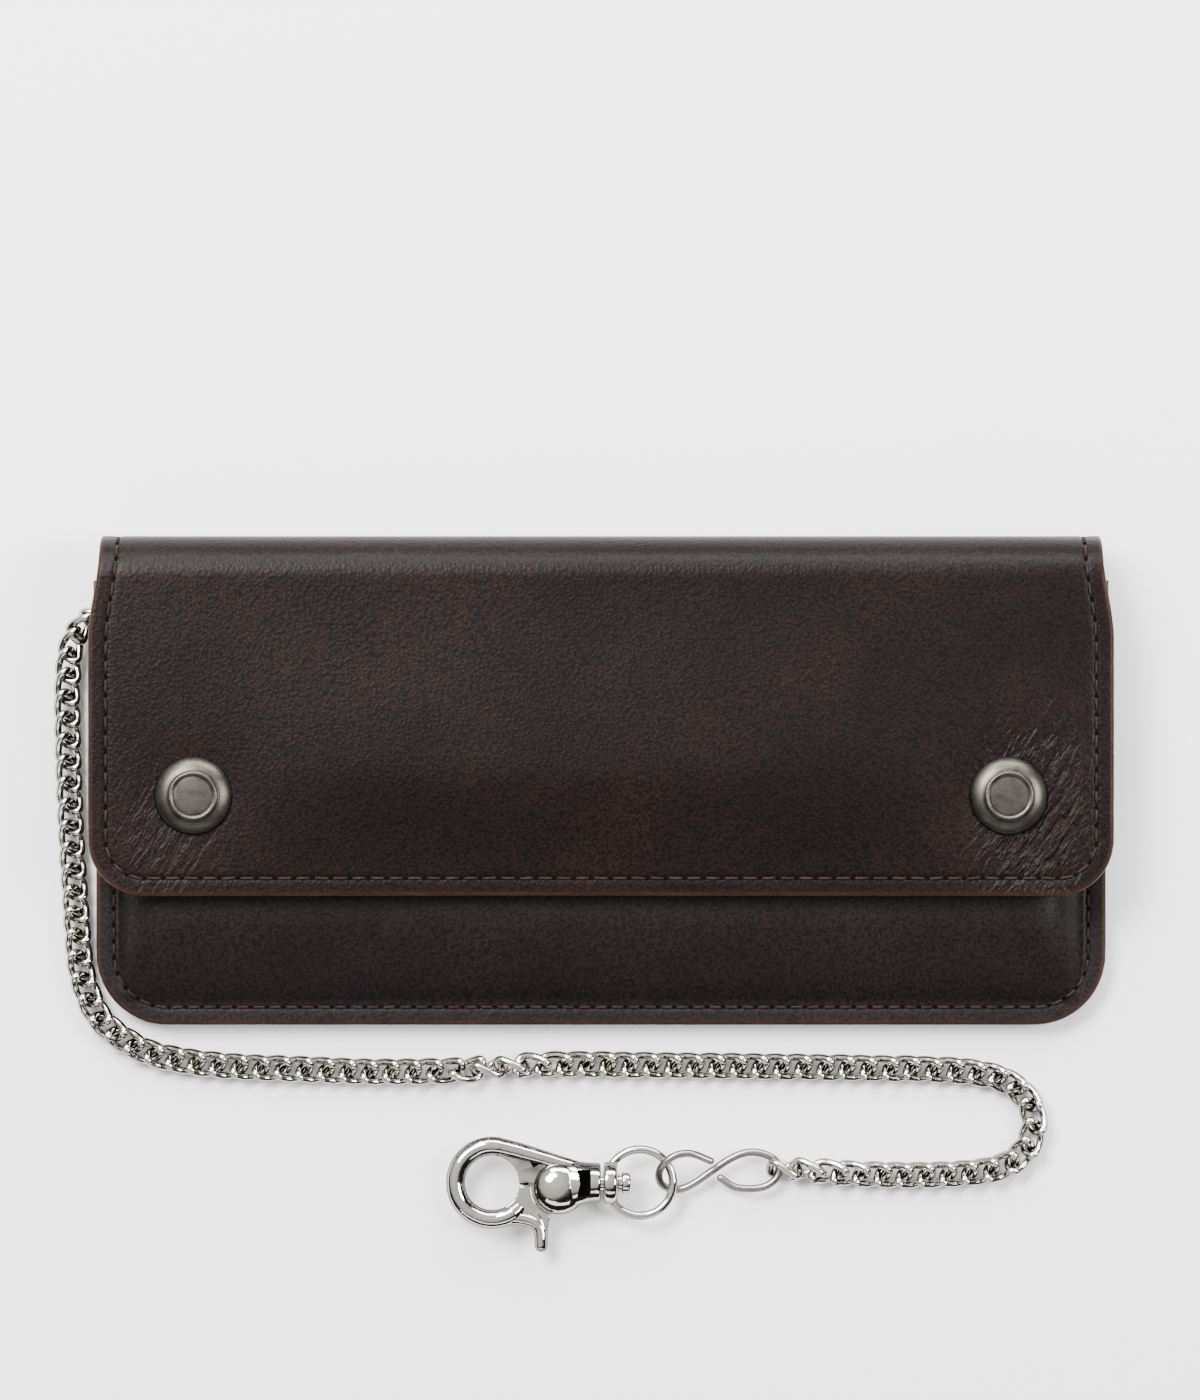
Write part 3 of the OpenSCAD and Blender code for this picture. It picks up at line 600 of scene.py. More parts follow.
def front_height(x, y):
    """Outer surface of the stuffed front pocket: flat at the sewn border, then a soft rise."""
    side = np.clip((HALF_BODY - np.abs(x) - 4.6 * MM) / (9.5 * MM), 0, 1)
    foot = np.clip((y - BOTTOM_Y - 4.6 * MM) / (21 * MM), 0, 1)
    rise = (1 - (1 - side) ** 2.3) * (1 - (1 - foot) ** 2.3)
    wave = 0.12 * MM * np.sin(x / (23 * MM) + 0.7) * np.sin(y / (15 * MM)) * rise
    return BORDER_TOP + (FRONT_TOP - BORDER_TOP) * rise + wave - 0.1 * MM * rise


def front_place(x, y):
    z = front_height(x, y)
    step = 0.05 * MM
    dx = (front_height(x + step, y) - front_height(x - step, y)) / (2 * step)
    dy = (front_height(x, y + step) - front_height(x, y - step)) / (2 * step)
    normal = np.stack([-dx, -dy, np.ones_like(x)], axis=-1)
    normal /= np.linalg.norm(normal, axis=-1)[..., None]
    return np.stack([x, y, z], axis=-1) - normal * LEATHER / 2, normal


def flat_place(z):
    """Places on a level sheet at height z."""
    def place(x, y):
        zero = np.zeros_like(x)
        return np.stack([x, y, zero + z], axis=-1), np.stack([zero, zero, zero + 1], axis=-1)
    return place


def make_leather(m):
    """The folded outer sheet, in two pieces that meet at the fold, and the front panel."""
    bend = np.linspace(0, QUARTER, 25)
    flap_rows = np.concatenate([bend[:-1], rows_between(QUARTER, FLAP_END, 1.5 * MM)])
    flap = leather_sheet("flap_leather", flap_rows, lambda s: taper(s, HALF_FLAP), FLAP_END, FLAP_R, LEATHER,
        folded_place, m["outer"], lift=flap_lift)
    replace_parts(flap, "flap_panel", "fold_strip")
    back_rows = np.concatenate([-bend[:-1], rows_between(-QUARTER, -BACK_END, 2.4 * MM)])
    back = leather_sheet("back_leather", back_rows, lambda s: taper(s, HALF_BODY), -BACK_END, BODY_R,
        LEATHER, folded_place, m["outer"])
    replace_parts(back, "back_panel")
    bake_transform(flap)
    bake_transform(back)
    front = leather_sheet("front_leather", rows_between(MOUTH_Y, BOTTOM_Y, 1.2 * MM, True, True),
        lambda s: HALF_BODY + 0 * s, BOTTOM_Y, BODY_R, LEATHER, front_place, m["front"],
        free_start=True)
    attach(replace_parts(front, "front_panel"), "wallet")


def make_inside(m):
    """Linings, the divider and the card pockets."""
    inset = back_high.x - lining_high.x

    def plain(name, node, end_r, material, seam=False, short=0.0, lift=None):
        low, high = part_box(node)
        low, high = low + Vector((short, short, 0)), high - Vector((short, 0, 0))
        rows = rows_between(high.y, low.y, 3 * MM, True, True)
        sheet = leather_sheet(name, rows, lambda s: high.x + 0 * s, low.y, end_r, high.z - low.z,
            flat_place((low.z + high.z) / 2), m[material], free_start=True, seam=seam,
            column_step=4 * MM, lift=lift)
        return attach(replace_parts(sheet, node), "flap" if "flap" in name else "wallet")

    plain("back_lining_leather", "back_lining", BODY_R - inset, "lining")
    plain("divider_leather", "divider", BODY_R - inset, "lining")
    plain("front_lining_leather", "front_lining", 8 * MM, "lining", short=5 * MM)
    plain("flap_lining_leather", "flap_lining", FLAP_R - inset, "lining",
        lift=lambda x, y: flap_lift(x, QUARTER + FOLD_Y - y))
    for level in ("top", "middle", "bottom"):
        plain(f"card_pocket_{level}_leather", f"card_pocket_{level}", 3 * MM, "pocket",
            seam=True)


# --- stitching
STITCH_SHARE = 0.74  # visible thread, of the pitch
HOLE_LONG, HOLE_WIDE = 0.62 * MM, 0.55 * MM # half sizes of a needle hole


def u_seam(half, start, end, corner, pitch):
    """Even places along a U: down one side, round the end and up the other, as (x, s, along x, along s)."""
    sign = 1 if end > start else -1
    w, r = half - SEAM, corner - SEAM
    side, foot, bend = abs(end - start) - SEAM - r, 2 * (w - r), math.pi * r / 2
    total = 2 * side + 2 * bend + foot
    places = []
    count = int(round(total / pitch))
    for i in range(count):
        at = (i + 0.5) * total / count
        if at < side:
            places.append((-w, start + sign * at, 0, sign))
        elif at < side + bend:
            a = (at - side) / r
            places.append((-w + r - r * math.cos(a), start + sign * (side + r * math.sin(a)),
                    math.sin(a), sign * math.cos(a)))
        elif at < side + bend + foot:
            places.append((-w + r + at - side - bend, start + sign * (side + r), 1, 0))
        elif at < side + 2 * bend + foot:
            a = (at - side - bend - foot) / r
            places.append((w - r + r * math.sin(a), start + sign * (side + r * math.cos(a)),
                    math.cos(a), -sign * math.sin(a)))
        else:
            places.append((w, start + sign * (side - (at - side - 2 * bend - foot)), 0, -sign))
    return places, total / count


def line_seam(x0, s0, x1, s1, pitch):
    length = math.hypot(x1 - x0, s1 - s0)
    count = max(1, int(round(length / pitch)))
    dx, ds = (x1 - x0) / length, (s1 - s0) / length
    return [(x0 + dx * (i + 0.5) * length / count, s0 + ds * (i + 0.5) * length / count, dx, ds)
        for i in range(count)], length / count


def stitches(name, places, pitch, surface, m, height=0.0, radius=0.27 * MM, seed=3):
    """Thread that comes up from one needle hole, lies on the leather and goes down the next."""
    rng = np.random.default_rng(seed)
    t = np.array([-0.5, -0.44, -0.36, -0.2, 0.0, 0.2, 0.36, 0.44, 0.5])
    rise = np.array([-0.55, -0.15, 0.12, 0.22, 0.25, 0.22, 0.12, -0.15, -0.55]) * MM
    wires, holes = [], []
    for x, s, dx, ds in places:
        lean = rng.normal(0, 0.035)
        along = t * pitch * STITCH_SHARE
        px = x + along * dx - along * lean * ds
        ps = s + along * ds + along * lean * dx
        centre, normal = surface(px, ps)
        path = centre + normal * (rise + height + rng.normal(0, 0.02) * MM)[:, None]
        wires.append(tube(path, radius, 8, caps=False))
        hx, hs = np.array([x + 0.5 * pitch * dx]), np.array([s + 0.5 * pitch * ds])
        c, nrm = surface(hx, hs)
        holes.append(needle_hole(c[0], nrm[0], np.array([dx, ds]), surface, hx, hs, height))
    v1, f1 = joined(wires)
    v2, f2 = joined(holes)
    vertices, faces = joined([(v1, f1), (v2, f2)])
    return mesh_object(name, vertices, faces, [m["thread"], m["hole"]], 60, [0] * len(f1) + [1] * len(f2))


def needle_hole(centre, normal, along, surface, hx, hs, height):
    """A dark lens that fills a needle hole, level with the leather: painted shade where the hole is."""
    ahead = surface(hx + along[0] * 0.1 * MM, hs + along[1] * 0.1 * MM)[0][0] - centre
    ahead /= np.linalg.norm(ahead)
    side = np.cross(normal, ahead)
    ring = [centre + ahead * HOLE_LONG * math.cos(a) + side * HOLE_WIDE * math.sin(a) + normal * height
        for a in np.linspace(0, 2 * math.pi, 10, endpoint=False)]
    vertices = ring + [centre + normal * (0.16 * MM + height), centre + normal * (height - 0.15 * MM)]
    faces = [(k, (k + 1) % 10, 10) for k in range(10)] + [((k + 1) % 10, k, 11) for k in range(10)]
    return np.array(vertices), faces


def outer_surface(place, lift=None, thick=LEATHER):
    """The stitched face of a sheet, at the bottom of the thread's groove."""
    def surface(x, s):
        x, s = np.asarray(x, float), np.asarray(s, float)
        centre, normal = place(x, s)
        raise_by = thick / 2 - 0.14 * MM + (0 if lift is None else lift(x, s))
        return centre + normal * np.reshape(raise_by, (-1, 1)), normal
    return surface


def make_thread(m):
    flap_face = outer_surface(folded_place, flap_lift)
    start = QUARTER + TAPER
    places, pitch = u_seam(HALF_FLAP, start, FLAP_END, FLAP_R, FLAP_PITCH)
    flap = stitches("flap_stitching", places, pitch, flap_face, m)
    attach(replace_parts(flap, "flap_thread"), "flap")
    fold_face = outer_surface(folded_place)
    for name, s0, s1, bodies in (("fold_stitching_front", 0.4 * MM, start, ("fold", "flap")),
            ("fold_stitching_back", -0.4 * MM, -start, ("wallet", "fold"))):
        half = HALF_FLAP if s1 > 0 else HALF_BODY
        places = []
        for side in (-1, 1):
            knots = np.linspace(s0, s1, 7)
            line = [(side * (float(taper(k, half)) - SEAM), k) for k in knots]
            for (xa, sa), (xb, sb) in zip(line, line[1:]):
                row, _ = line_seam(xa, sa, xb, sb, FLAP_PITCH)
                places += row
        face = flap_face if s1 > 0 else fold_face
        piece = stitches(name, places, FLAP_PITCH, face, m, height=0.0 if s1 > 0 else -0.10 * MM)
        if s1 > 0:
            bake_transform(piece)
        else:
            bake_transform(piece)
    front_face = outer_surface(front_place)
    places, pitch = u_seam(HALF_BODY, MOUTH_Y - 3 * MM, BOTTOM_Y, BODY_R, BODY_PITCH)
    body = stitches("body_stitching", places, pitch, front_face, m, radius=0.26 * MM)
    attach(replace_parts(body, "body_thread"), "wallet")
    places, pitch = u_seam(HALF_BODY, -start, -BACK_END, BODY_R, BODY_PITCH)
    back = stitches("back_stitching", places, pitch, fold_face, m, height=-0.14 * MM, radius=0.26 * MM)
    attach(back, "wallet")
    low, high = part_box("pocket_thread")
    card_low, card_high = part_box("card_pocket_bottom")
    face = outer_surface(flat_place((card_low.z + card_high.z) / 2), thick=card_high.z - card_low.z)
    rows = []
    for x in (low.x, 0, high.x):
        row, pitch = line_seam(x, low.y, x, high.y, BODY_PITCH)
        rows += row
    cards = stitches("pocket_stitching", rows, pitch, face, m, radius=0.25 * MM)
    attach(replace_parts(cards, "pocket_thread"), "wallet")


# --- snaps
def curve_profile(points, step=0.12):
    """Smooth turned profile through a few (radius, height) points in millimetres."""
    path, _ = smooth_path([(r, 0, h) for r, h in points], step)
    return [(max(r, 0) * MM, h * MM) for r, _, h in path]


CAP_DOME = [(0, 2.22), (1.6, 2.21), (3.2, 2.15), (3.9, 2.10), (4.15, 2.22), (4.40, 2.30), (4.65, 2.20),
    (4.9, 1.98), (5.4, 1.82), (6.1, 1.52), (6.8, 1.08), (7.3, 0.62), (7.58, 0.25), (7.55, 0.02),
    (7.2, -0.02), (6.4, 0.02)]
CAP_POST_R = 1.95


def make_snaps(m):
    """The caps: a low dome with a raised ring, on a post."""
    for side in ("left", "right"):
        low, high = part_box(f"snap_cap_{side}")
        x, y, foot = (low.x + high.x) / 2, (low.y + high.y) / 2, (low.z - FLAP_TOP) / MM
        post = mm((0, 0.02), (CAP_POST_R, 0.02), (CAP_POST_R, foot), (0, foot))
        dome = curve_profile(CAP_DOME) + mm((0, 0.02))
        vertices, faces = joined([lathe(dome, 72, centre=(x, y, FLAP_TOP - 0.05 * MM)),
                lathe(post, 32, centre=(x, y, FLAP_TOP))])
        cap = mesh_object(f"snap_cap_{side}_dome", vertices, faces, [m["cap"]], 50)
        radius = np.hypot(vertices[:, 0] - x, vertices[:, 1] - y) / MM
        # painted shade: darker in the grooves beside the raised ring and under the dome's rim
        painted_shade = np.exp(-((radius - 3.80) / 0.20) ** 2) * 0.7 + np.exp(-((radius - 5.0) / 0.20) ** 2) * 0.7
        painted_shade = painted_shade + 0.7 * smoothstep(radius, 7.2, 7.6)
        point_attribute(cap, "painted_shade", np.clip(painted_shade, 0, 1))
        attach(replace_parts(cap, f"snap_cap_{side}"), "flap")


# --- sizes of the chain and the hook
ROUTE_STEP = 0.25 * MM
S_WIRE = 0.75 * MM  # radius of the S-hook's wire
HOOK_Z = JOINTS["hook_swivel"].z
HOOK_Y = JOINTS["hook_swivel"].y
PIVOT = JOINTS["gate_pivot"]
EYE_X = -21.3 * MM
EYE_R, RIM_R = 5.3 * MM, 9.05 * MM  # inside and outside of the hook's eye
RING_MID, RING_HALF = (EYE_R + RIM_R) / 2, (RIM_R - EYE_R) / 2
DOME_R, DOME_HIGH = 5.3 * MM, 3.3 * MM
PLATE_HALF, WEB_HALF = 1.05 * MM, 0.95 * MM
RING_WIRE = 0.85 * MM  # radius of the swivel ring's wire
CAST_SHARP = 40  # edges sharper than this stay sharp, in degrees
TAB_INNER, TAB_OUTER = 1.12 * MM, 2.50 * MM
# sections of the neck: x, middle y, half width, half height, in millimetres
NECK = [(-10.2, -79.2, 2.6, 1.2), (-9.0, -79.2, 3.7, 1.9), (-7.4, -79.1, 4.5, 2.5),
    (-5.6, -78.9, 4.55, 3.05), (-4.0, -78.75, 4.3, 3.5), (-2.6, -78.65, 4.05, 3.85),
    (-1.4, -78.6, 3.95, 3.92), (-0.45, -78.6, 3.92, 3.9), (-0.16, -78.6, 3.78, 3.78),
    (-0.05, -78.6, 3.5, 3.5)]
# ribs down to the lever: x, y, radius, in millimetres
CREST = [(-18.3, -85.5, 1.5), (-16.6, -85.45, 1.48), (-14.9, -85.7, 1.42), (-13.3, -86.2, 1.36),
    (-12.2, -87.2, 1.33), (-11.75, -88.6, 1.32), (-11.7, -91, 1.30)]
HUG = [(-15.3, -80.8, 0.7), (-14.75, -82.3, 0.85), (-13.8, -83.9, 1.0), (-12.5, -85.3, 1.15),
    (-11.8, -86.9, 1.2), (-11.65, -88.6, 1.2), (-11.7, -90.6, 1.2)]
# turned profiles: radius and place along the swivel's axis, in millimetres
COLLAR = [(1.62, 0.5), (3.55, 0.5), (3.8, 0.56), (4.0, 0.7), (4.13, 0.95), (4.18, 1.3), (4.2, 1.85),
    (4.18, 2.4), (4.13, 2.75), (4.0, 3.0), (3.8, 3.14), (3.55, 3.2), (1.62, 3.2)]
POST = [(0, -4.4), (1.5, -4.4), (1.5, 3.34), (1.75, 3.36), (1.85, 3.5), (1.85, 4.1), (2.1, 4.2),
    (2.26, 4.35), (2.3, 4.6), (2.3, 5.3), (2.22, 5.62), (2.0, 5.82), (1.6, 5.92), (0, 5.95)]


# --- chain
CHAIN_ROUTE = mm(
    (-98.2, 33.1, 5.6), (-100.7, 31.4, 5.2), (-103.6, 26, 4), (-104.4, 18, 3), (-104.4, 10, 2.7),
    (-104.2, 2, 2.7), (-103.9, -6, 2.7), (-103.5, -14, 2.7), (-103, -22, 2.6), (-102.5, -30, 2.5),
    (-101.8, -37, 2.4), (-99.8, -43.6, 2.3), (-96.8, -48, 2.2), (-92.6, -51.2, 2), (-87.8, -53.5, 1.8),
    (-81, -55, 1.8), (-72, -56, 1.8), (-60, -56.5, 1.8), (-47, -57, 2), (-37, -57, 2.4),
    (-28, -56.8, 2.2), (-18, -56, 1.8), (-8, -55.6, 1.8), (10, -55.8, 1.8), (29, -56, 1.8),
    (49, -56.3, 1.8), (67, -56.7, 1.8), (76, -57.8, 1.8), (81, -60, 1.9), (84, -63.4, 2.1),
    (84.8, -67.4, 2.2), (83.6, -71.5, 2.1), (80.2, -74.8, 1.9), (75, -76.5, 1.8), (67, -77.2, 1.8),
    (58, -77.3, 1.8), (49, -77, 2.1), (42.5, -76.5, 2.5), (39.4, -76.2, 2.7), (36.1, -76, 2.8))
LINK_PITCH = 4.25 * MM
LINK_A, LINK_B, LINK_LEAN, LINK_SKEW, LINK_WIRE = 3.05 * MM, 1.95 * MM, 1.2 * MM, 1.1 * MM, 0.75 * MM
LINK_SQUARE = 0.88


def link_curve(roll, steps=48):
    """One curb link: a slanted oval whose quarters lean up and down by turns, so that equal links nest.
    The slant changes hands as the chain turns over, since both faces of a curb chain look alike."""
    t = np.linspace(0, 2 * math.pi, 721)
    c, d = np.cos(t), np.sin(t)
    x = LINK_A * np.sign(c) * np.abs(c) ** LINK_SQUARE + LINK_SKEW * math.cos(roll) * d
    y = LINK_B * np.sign(d) * np.abs(d) ** LINK_SQUARE
    z = LINK_LEAN * np.sin(2 * t) + 0.1 * MM * np.sin(4 * t)
    along = np.concatenate([[0], np.cumsum(np.sqrt(np.diff(x) ** 2 + np.diff(y) ** 2 + np.diff(z) ** 2))])
    at = np.linspace(0, along[-1], steps, endpoint=False)
    return np.stack([np.interp(at, along, v) for v in (x, y, z)], axis=1)


ROLL_STOPS = [(0, -90), (4.2, -60), (8.5, -38), (20, -24), (45, -18), (75, -14), (95, -10), (120, -5),
    (150, -2), (160, -8), (166, -44), (172, -92), (178, -140), (185, -174), (192, -180),
    (262, -178), (276, -170), (290, -172), (304, -180), (326, -184), (334, -200), (339, -232),
    (344, -270)]                  # millimetres along the chain, degrees


def link_roll(at):
    """How far the chain is turned about its own line, in degrees, by distance along it in metres."""
    at_mm, roll = zip(*ROLL_STOPS)
    return np.interp(at / MM, at_mm, roll)


def link_points(centre, ahead, turn, rng, loose):
    """One link's wire at its place on the chain, with a little play, kept above the surface."""
    side = np.cross((0, 0, 1.0), ahead)
    side /= np.linalg.norm(side)
    up = np.cross(ahead, side)
    roll = math.radians(turn + loose * rng.normal(0, 2.2))
    yaw = math.radians(loose * rng.normal(0, 1.2))
    wide = side * math.cos(roll) + up * math.sin(roll)
    deep = up * math.cos(roll) - side * math.sin(roll)
    cos, sin = math.cos(yaw), math.sin(yaw)
    ahead, wide = ahead * cos + wide * sin, wide * cos - ahead * sin
    curve = link_curve(math.radians(turn))
    points = centre + curve[:, :1] * ahead + curve[:, 1:2] * wide + curve[:, 2:] * deep
    low = points[:, 2].min() - LINK_WIRE
    points[:, 2] += max(0, 0.05 * MM - low)
    return points


def make_chain(m):
    """Separate links along the route, from the wallet's ring to the S-hook."""
    path, _ = smooth_path(CHAIN_ROUTE, ROUTE_STEP)
    along = np.concatenate([[0], np.cumsum(np.linalg.norm(np.diff(path, axis=0), axis=1))])
    count = int(round(along[-1] / LINK_PITCH)) + 1
    scale = ROLL_STOPS[-1][0] * MM / along[-1]
    rng = np.random.default_rng(11)

    def at(s):
        return np.array([np.interp(s, along, path[:, k]) for k in range(3)])

    parts = []
    for i in range(count):
        s = along[-1] * i / (count - 1)
        ends = at(min(s + LINK_PITCH / 2, along[-1])) - at(max(s - LINK_PITCH / 2, 0))
        loose = 0 if i in (0, count - 1) else 1
        points = link_points(at(s), ends / np.linalg.norm(ends), link_roll(s * scale), rng, loose)
        parts.append(tube(points, LINK_WIRE, 12, closed=True))
    vertices, faces = joined(parts)
    chain = mesh_object("curb_chain", vertices, faces, [m["chain"]], 70)
    shade_sides(chain, 0.98, 0.30, 0.84)
    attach(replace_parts(chain, "chain", "chain_first_link", "chain_last_link"), "wallet")
    return chain, path


# --- S-hook and snap hook
S_ROUTE = mm(
    (21.4, -74.3, 5), (18, -72.9, 5.9), (15.4, -72.9, 6.3), (13.4, -73.8, 6.3), (11.9, -75.3, 5.6),
    (11.3, -77.2, 4.3), (11.9, -79, 3), (13.7, -80, 2.3), (16, -79.9, 2.3), (18.6, -78.6, 2.6),
    (22, -76.2, 2.8), (25.4, -74, 2.8), (28.6, -72.8, 2.8), (31.6, -73, 2.8), (34, -74.2, 2.8),
    (34.9, -76, 2.8), (34.2, -78, 2.8), (32, -79.5, 2.8), (29, -79.9, 2.8), (26, -79.5, 2.8),
    (23.4, -77.8, 2.8))


def make_s_hook(m):
    path, _ = smooth_path(S_ROUTE, ROUTE_STEP)
    vertices, faces = tube(path, S_WIRE, 18)
    hook = mesh_object("s_hook_wire", vertices, faces, [m["s_hook"]], 60)
    shade_sides(hook, 0.93, 0.35, 0.90)
    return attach(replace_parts(hook, "s_hook"), "s_hook")


def arc(cx, cy, r, a0, a1, steps):
    a = np.radians(np.linspace(a0, a1, steps))
    return [(cx + r * math.cos(k), cy + r * math.sin(k)) for k in a]


def casting(name, outline, low, high, round_by, material, segments=5):
    """A flat outline (in metres) given thickness, with generously rounded edges."""
    work = bmesh.new()
    under = [work.verts.new((x, y, low)) for x, y in outline]
    over = [work.verts.new((x, y, high)) for x, y in outline]
    n = len(outline)
    work.faces.new(under[::-1])
    work.faces.new(over)
    for k in range(n):
        m = (k + 1) % n
        work.faces.new((under[k], under[m], over[m], over[k]))
    bmesh.ops.recalc_face_normals(work, faces=work.faces)
    rims = [e for e in work.edges if abs(e.verts[0].co.z - e.verts[1].co.z) < 1e-7]
    bmesh.ops.bevel(work, geom=rims, offset=round_by, offset_type="OFFSET", segments=segments, profile=0.55,
        affect="EDGES", clamp_overlap=True)
    mesh = bpy.data.meshes.new(name)
    work.to_mesh(mesh)
    work.free()
    return shown(mesh, [material], CAST_SHARP)


def merge(name, first, *others):
    """Joins objects into the first."""
    bpy.ops.object.select_all(action="DESELECT")
    for obj in (first, *others):
        obj.select_set(True)
    bpy.context.view_layer.objects.active = first
    bpy.ops.object.join()
    first.name = name
    return first


def cut_with(obj, *cutters):
    """Takes solids away from obj and removes them."""
    for cutter in cutters:
        modifier = obj.modifiers.new("cut", "BOOLEAN")
        modifier.operation, modifier.object, modifier.solver = "DIFFERENCE", cutter, "EXACT"
        bpy.context.view_layer.objects.active = obj
        bpy.ops.object.modifier_apply(modifier=modifier.name)
        bpy.data.objects.remove(cutter, do_unlink=True)
    obj.data.set_sharp_from_angle(angle=math.radians(CAST_SHARP))


def ring_line(a0, a1, steps):
    return [(x, y, HOOK_Z) for x, y in arc(EYE_X, HOOK_Y, RING_MID, a0, a1, steps)]


def make_hook_plate(m):
    """The flat web between the eye and the neck, with its recess and slit."""
    plate = (arc(EYE_X, HOOK_Y, EYE_R, -3, 80, 30)
        + mm((-18.6, -71.6), (-10.0, -74.0), (-3.0, -75.9), (-3.0, -81.0))
        + arc(PIVOT.x, PIVOT.y, DOME_R * 0.98, -50, -180, 26))
    half = PLATE_HALF
    body = casting("hook_body_casting", plate, HOOK_Z - half, HOOK_Z + half, 0.7 * MM, m["hook"], 7)
    recess = casting("recess", mm((-14.9, -72.9), (-10.6, -74.1), (-13.2, -75.6)), HOOK_Z + 0.4 * MM,
        HOOK_Z + 3 * MM, 0.2 * MM, m["hook"], 3)
    slit = casting("slit", mm((-16.6, -79.3), (-16.6, -78.7), (-14.2, -78.5), (-14.2, -79.0)),
        HOOK_Z + 0.3 * MM, HOOK_Z + 3 * MM, 0.1 * MM, m["hook"], 2)
    cut_with(body, recess, slit)
    return body


def make_hook_barrel(m):
    """The neck behind the hub, with the window cut in its top."""
    path, _ = smooth_path([(x, w, h) for x, _, w, h in NECK], 0.25)
    middle = np.interp(path[:, 0], [x for x, _, _, _ in NECK], [y for _, y, _, _ in NECK])
    stations = [(x * MM, y * MM, w * MM, HOOK_Z, h * MM) for (x, w, h), y in zip(path, middle)]
    side = 2.7 * MM
    window = casting("window", [(-4.7 * MM, HOOK_Y + side), (-4.1 * MM, HOOK_Y), (-4.7 * MM, HOOK_Y - side),
            (-2.0 * MM, HOOK_Y - side), (-2.0 * MM, HOOK_Y + side)],
        HOOK_Z + 2.1 * MM, HOOK_Z + 6 * MM, 0.15 * MM, m["hook"], 2)
    barrel = mesh_object("barrel", *loft_x(stations), [m["hook"]], CAST_SHARP)
    cut_with(barrel, window)
    return barrel


def make_hook_body(m):
    """The fixed part of the hook: plate, the rib round the eye, the domed hub and the neck."""
    body = make_hook_plate(m)
    rib = ring_line(224.6, 77, 60)
    rib += [(x, y, HOOK_Z) for x, y in mm((-16.2, -72.45), (-12.0, -73.65), (-8.0, -74.8), (-4.4, -75.75))]
    size = np.interp(np.arange(len(rib)), [0, 58, 60, 61, 62, 63],
        np.array([RING_HALF, RING_HALF, 1.78 * MM, 1.65 * MM, 1.5 * MM, 1.3 * MM]))
    steps = np.linspace(0, math.pi / 2, 18)
    upper = [(DOME_R * math.sin(a) * 0.995, DOME_HIGH * math.cos(a)) for a in steps]
    dome = upper + [(r, -h) for r, h in upper[::-1][1:]]
    barrel = make_hook_barrel(m)
    parts = [tube(rib, size, 28, caps=False), lathe(dome, 80, centre=(PIVOT.x, PIVOT.y, HOOK_Z))]
    shell = mesh_object("shell", *joined(parts), [m["hook"]], CAST_SHARP)
    body = merge("hook_body_casting", body, shell, barrel)
    shade_sides(body, 0.96, 0.42, 0.86)
    # painted shade: blackens the window in the neck, the recess and the slit
    paint_shade_in_box(body, (-4.8, -3.0, 1.6), (-1.9, 3.0, 2.4))
    paint_shade_in_box(body, (-15.5, 2.9, 0.0), (-10.0, 5.9, 0.7))
    paint_shade_in_box(body, (-16.8, -0.8, 0.0), (-14.0, 0.2, 0.5))
    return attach(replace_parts(body, "hook_body"), "hook")


def make_gate(m):
    """The moving jaw of the eye, with its web, two ribs down to the lever, and a hub on the pin."""
    arm = ring_line(-134.9, -38, 44)
    size = np.interp(np.arange(len(arm)), [0, 36, len(arm) - 1], np.array([RING_HALF, RING_HALF, 1.3 * MM]))
    web = (arc(EYE_X, HOOK_Y, EYE_R + 0.1 * MM, -62, -7, 20)
        + arc(PIVOT.x, PIVOT.y, DOME_R + 0.15 * MM, -184, -110, 18)
        + mm((-9.9, -85.3), (-10.25, -86.3), (-10.4, -88.0), (-13.0, -88.0), (-13.2, -87.3),
            (-13.8, -86.75), (-15.2, -86.4), (-16.8, -86.2)))
    gate = casting("gate_casting", web, HOOK_Z - WEB_HALF, HOOK_Z + WEB_HALF, 0.75 * MM, m["hook"], 8)
    wires = [tube(arm, size, 28, caps=False)]
    for line in (CREST, HUG):
        path, _ = smooth_path(line, 0.3)
        wires.append(tube([(x * MM, y * MM, HOOK_Z) for x, y, _ in path], path[:, 2] * MM, 24))
    wires.append(lathe(mm((0, -0.9), (3.4, -0.9), (3.4, 0.3), (0, 0.3)), 48,
            centre=(PIVOT.x, PIVOT.y, HOOK_Z)))
    vertices, faces = joined(wires)
    gate = merge("gate_casting", gate, mesh_object("arm", vertices, faces, [m["hook"]], 50))
    shade_sides(gate, 0.96, 0.42, 0.86)
    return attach(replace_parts(gate, "gate"), "gate")


def make_swivel(m):
    """The ring with its turned collar, and the headed post that turns in it."""
    ring_low, ring_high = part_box("swivel_eye")
    radius = (ring_high.y - ring_low.y) / 2 - RING_WIRE
    cx = ring_high.x - radius - RING_WIRE
    a = np.linspace(0, 2 * math.pi, 96, endpoint=False)
    ring = np.stack([cx + radius * np.cos(a), HOOK_Y + radius * np.sin(a), np.full_like(a, HOOK_Z)], axis=1)
    collar = lathe(mm(*COLLAR, COLLAR[0]), 64, "x", (0, HOOK_Y, HOOK_Z))
    vertices, faces = joined([tube(ring, RING_WIRE, 20, closed=True), collar])
    eye = mesh_object("swivel_ring_wire", vertices, faces, [m["hook"]], 50)
    weld(eye)
    shade_sides(eye, 0.93, 0.28, 0.84)
    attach(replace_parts(eye, "swivel_eye"), "swivel_ring")
    vertices, faces = lathe(mm(*POST), 48, "x", (0, HOOK_Y, HOOK_Z))
    post = mesh_object("swivel_post_head", vertices, faces, [m["hook"]], 35)
    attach(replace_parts(post, "swivel_post"), "hook")
    return eye, post


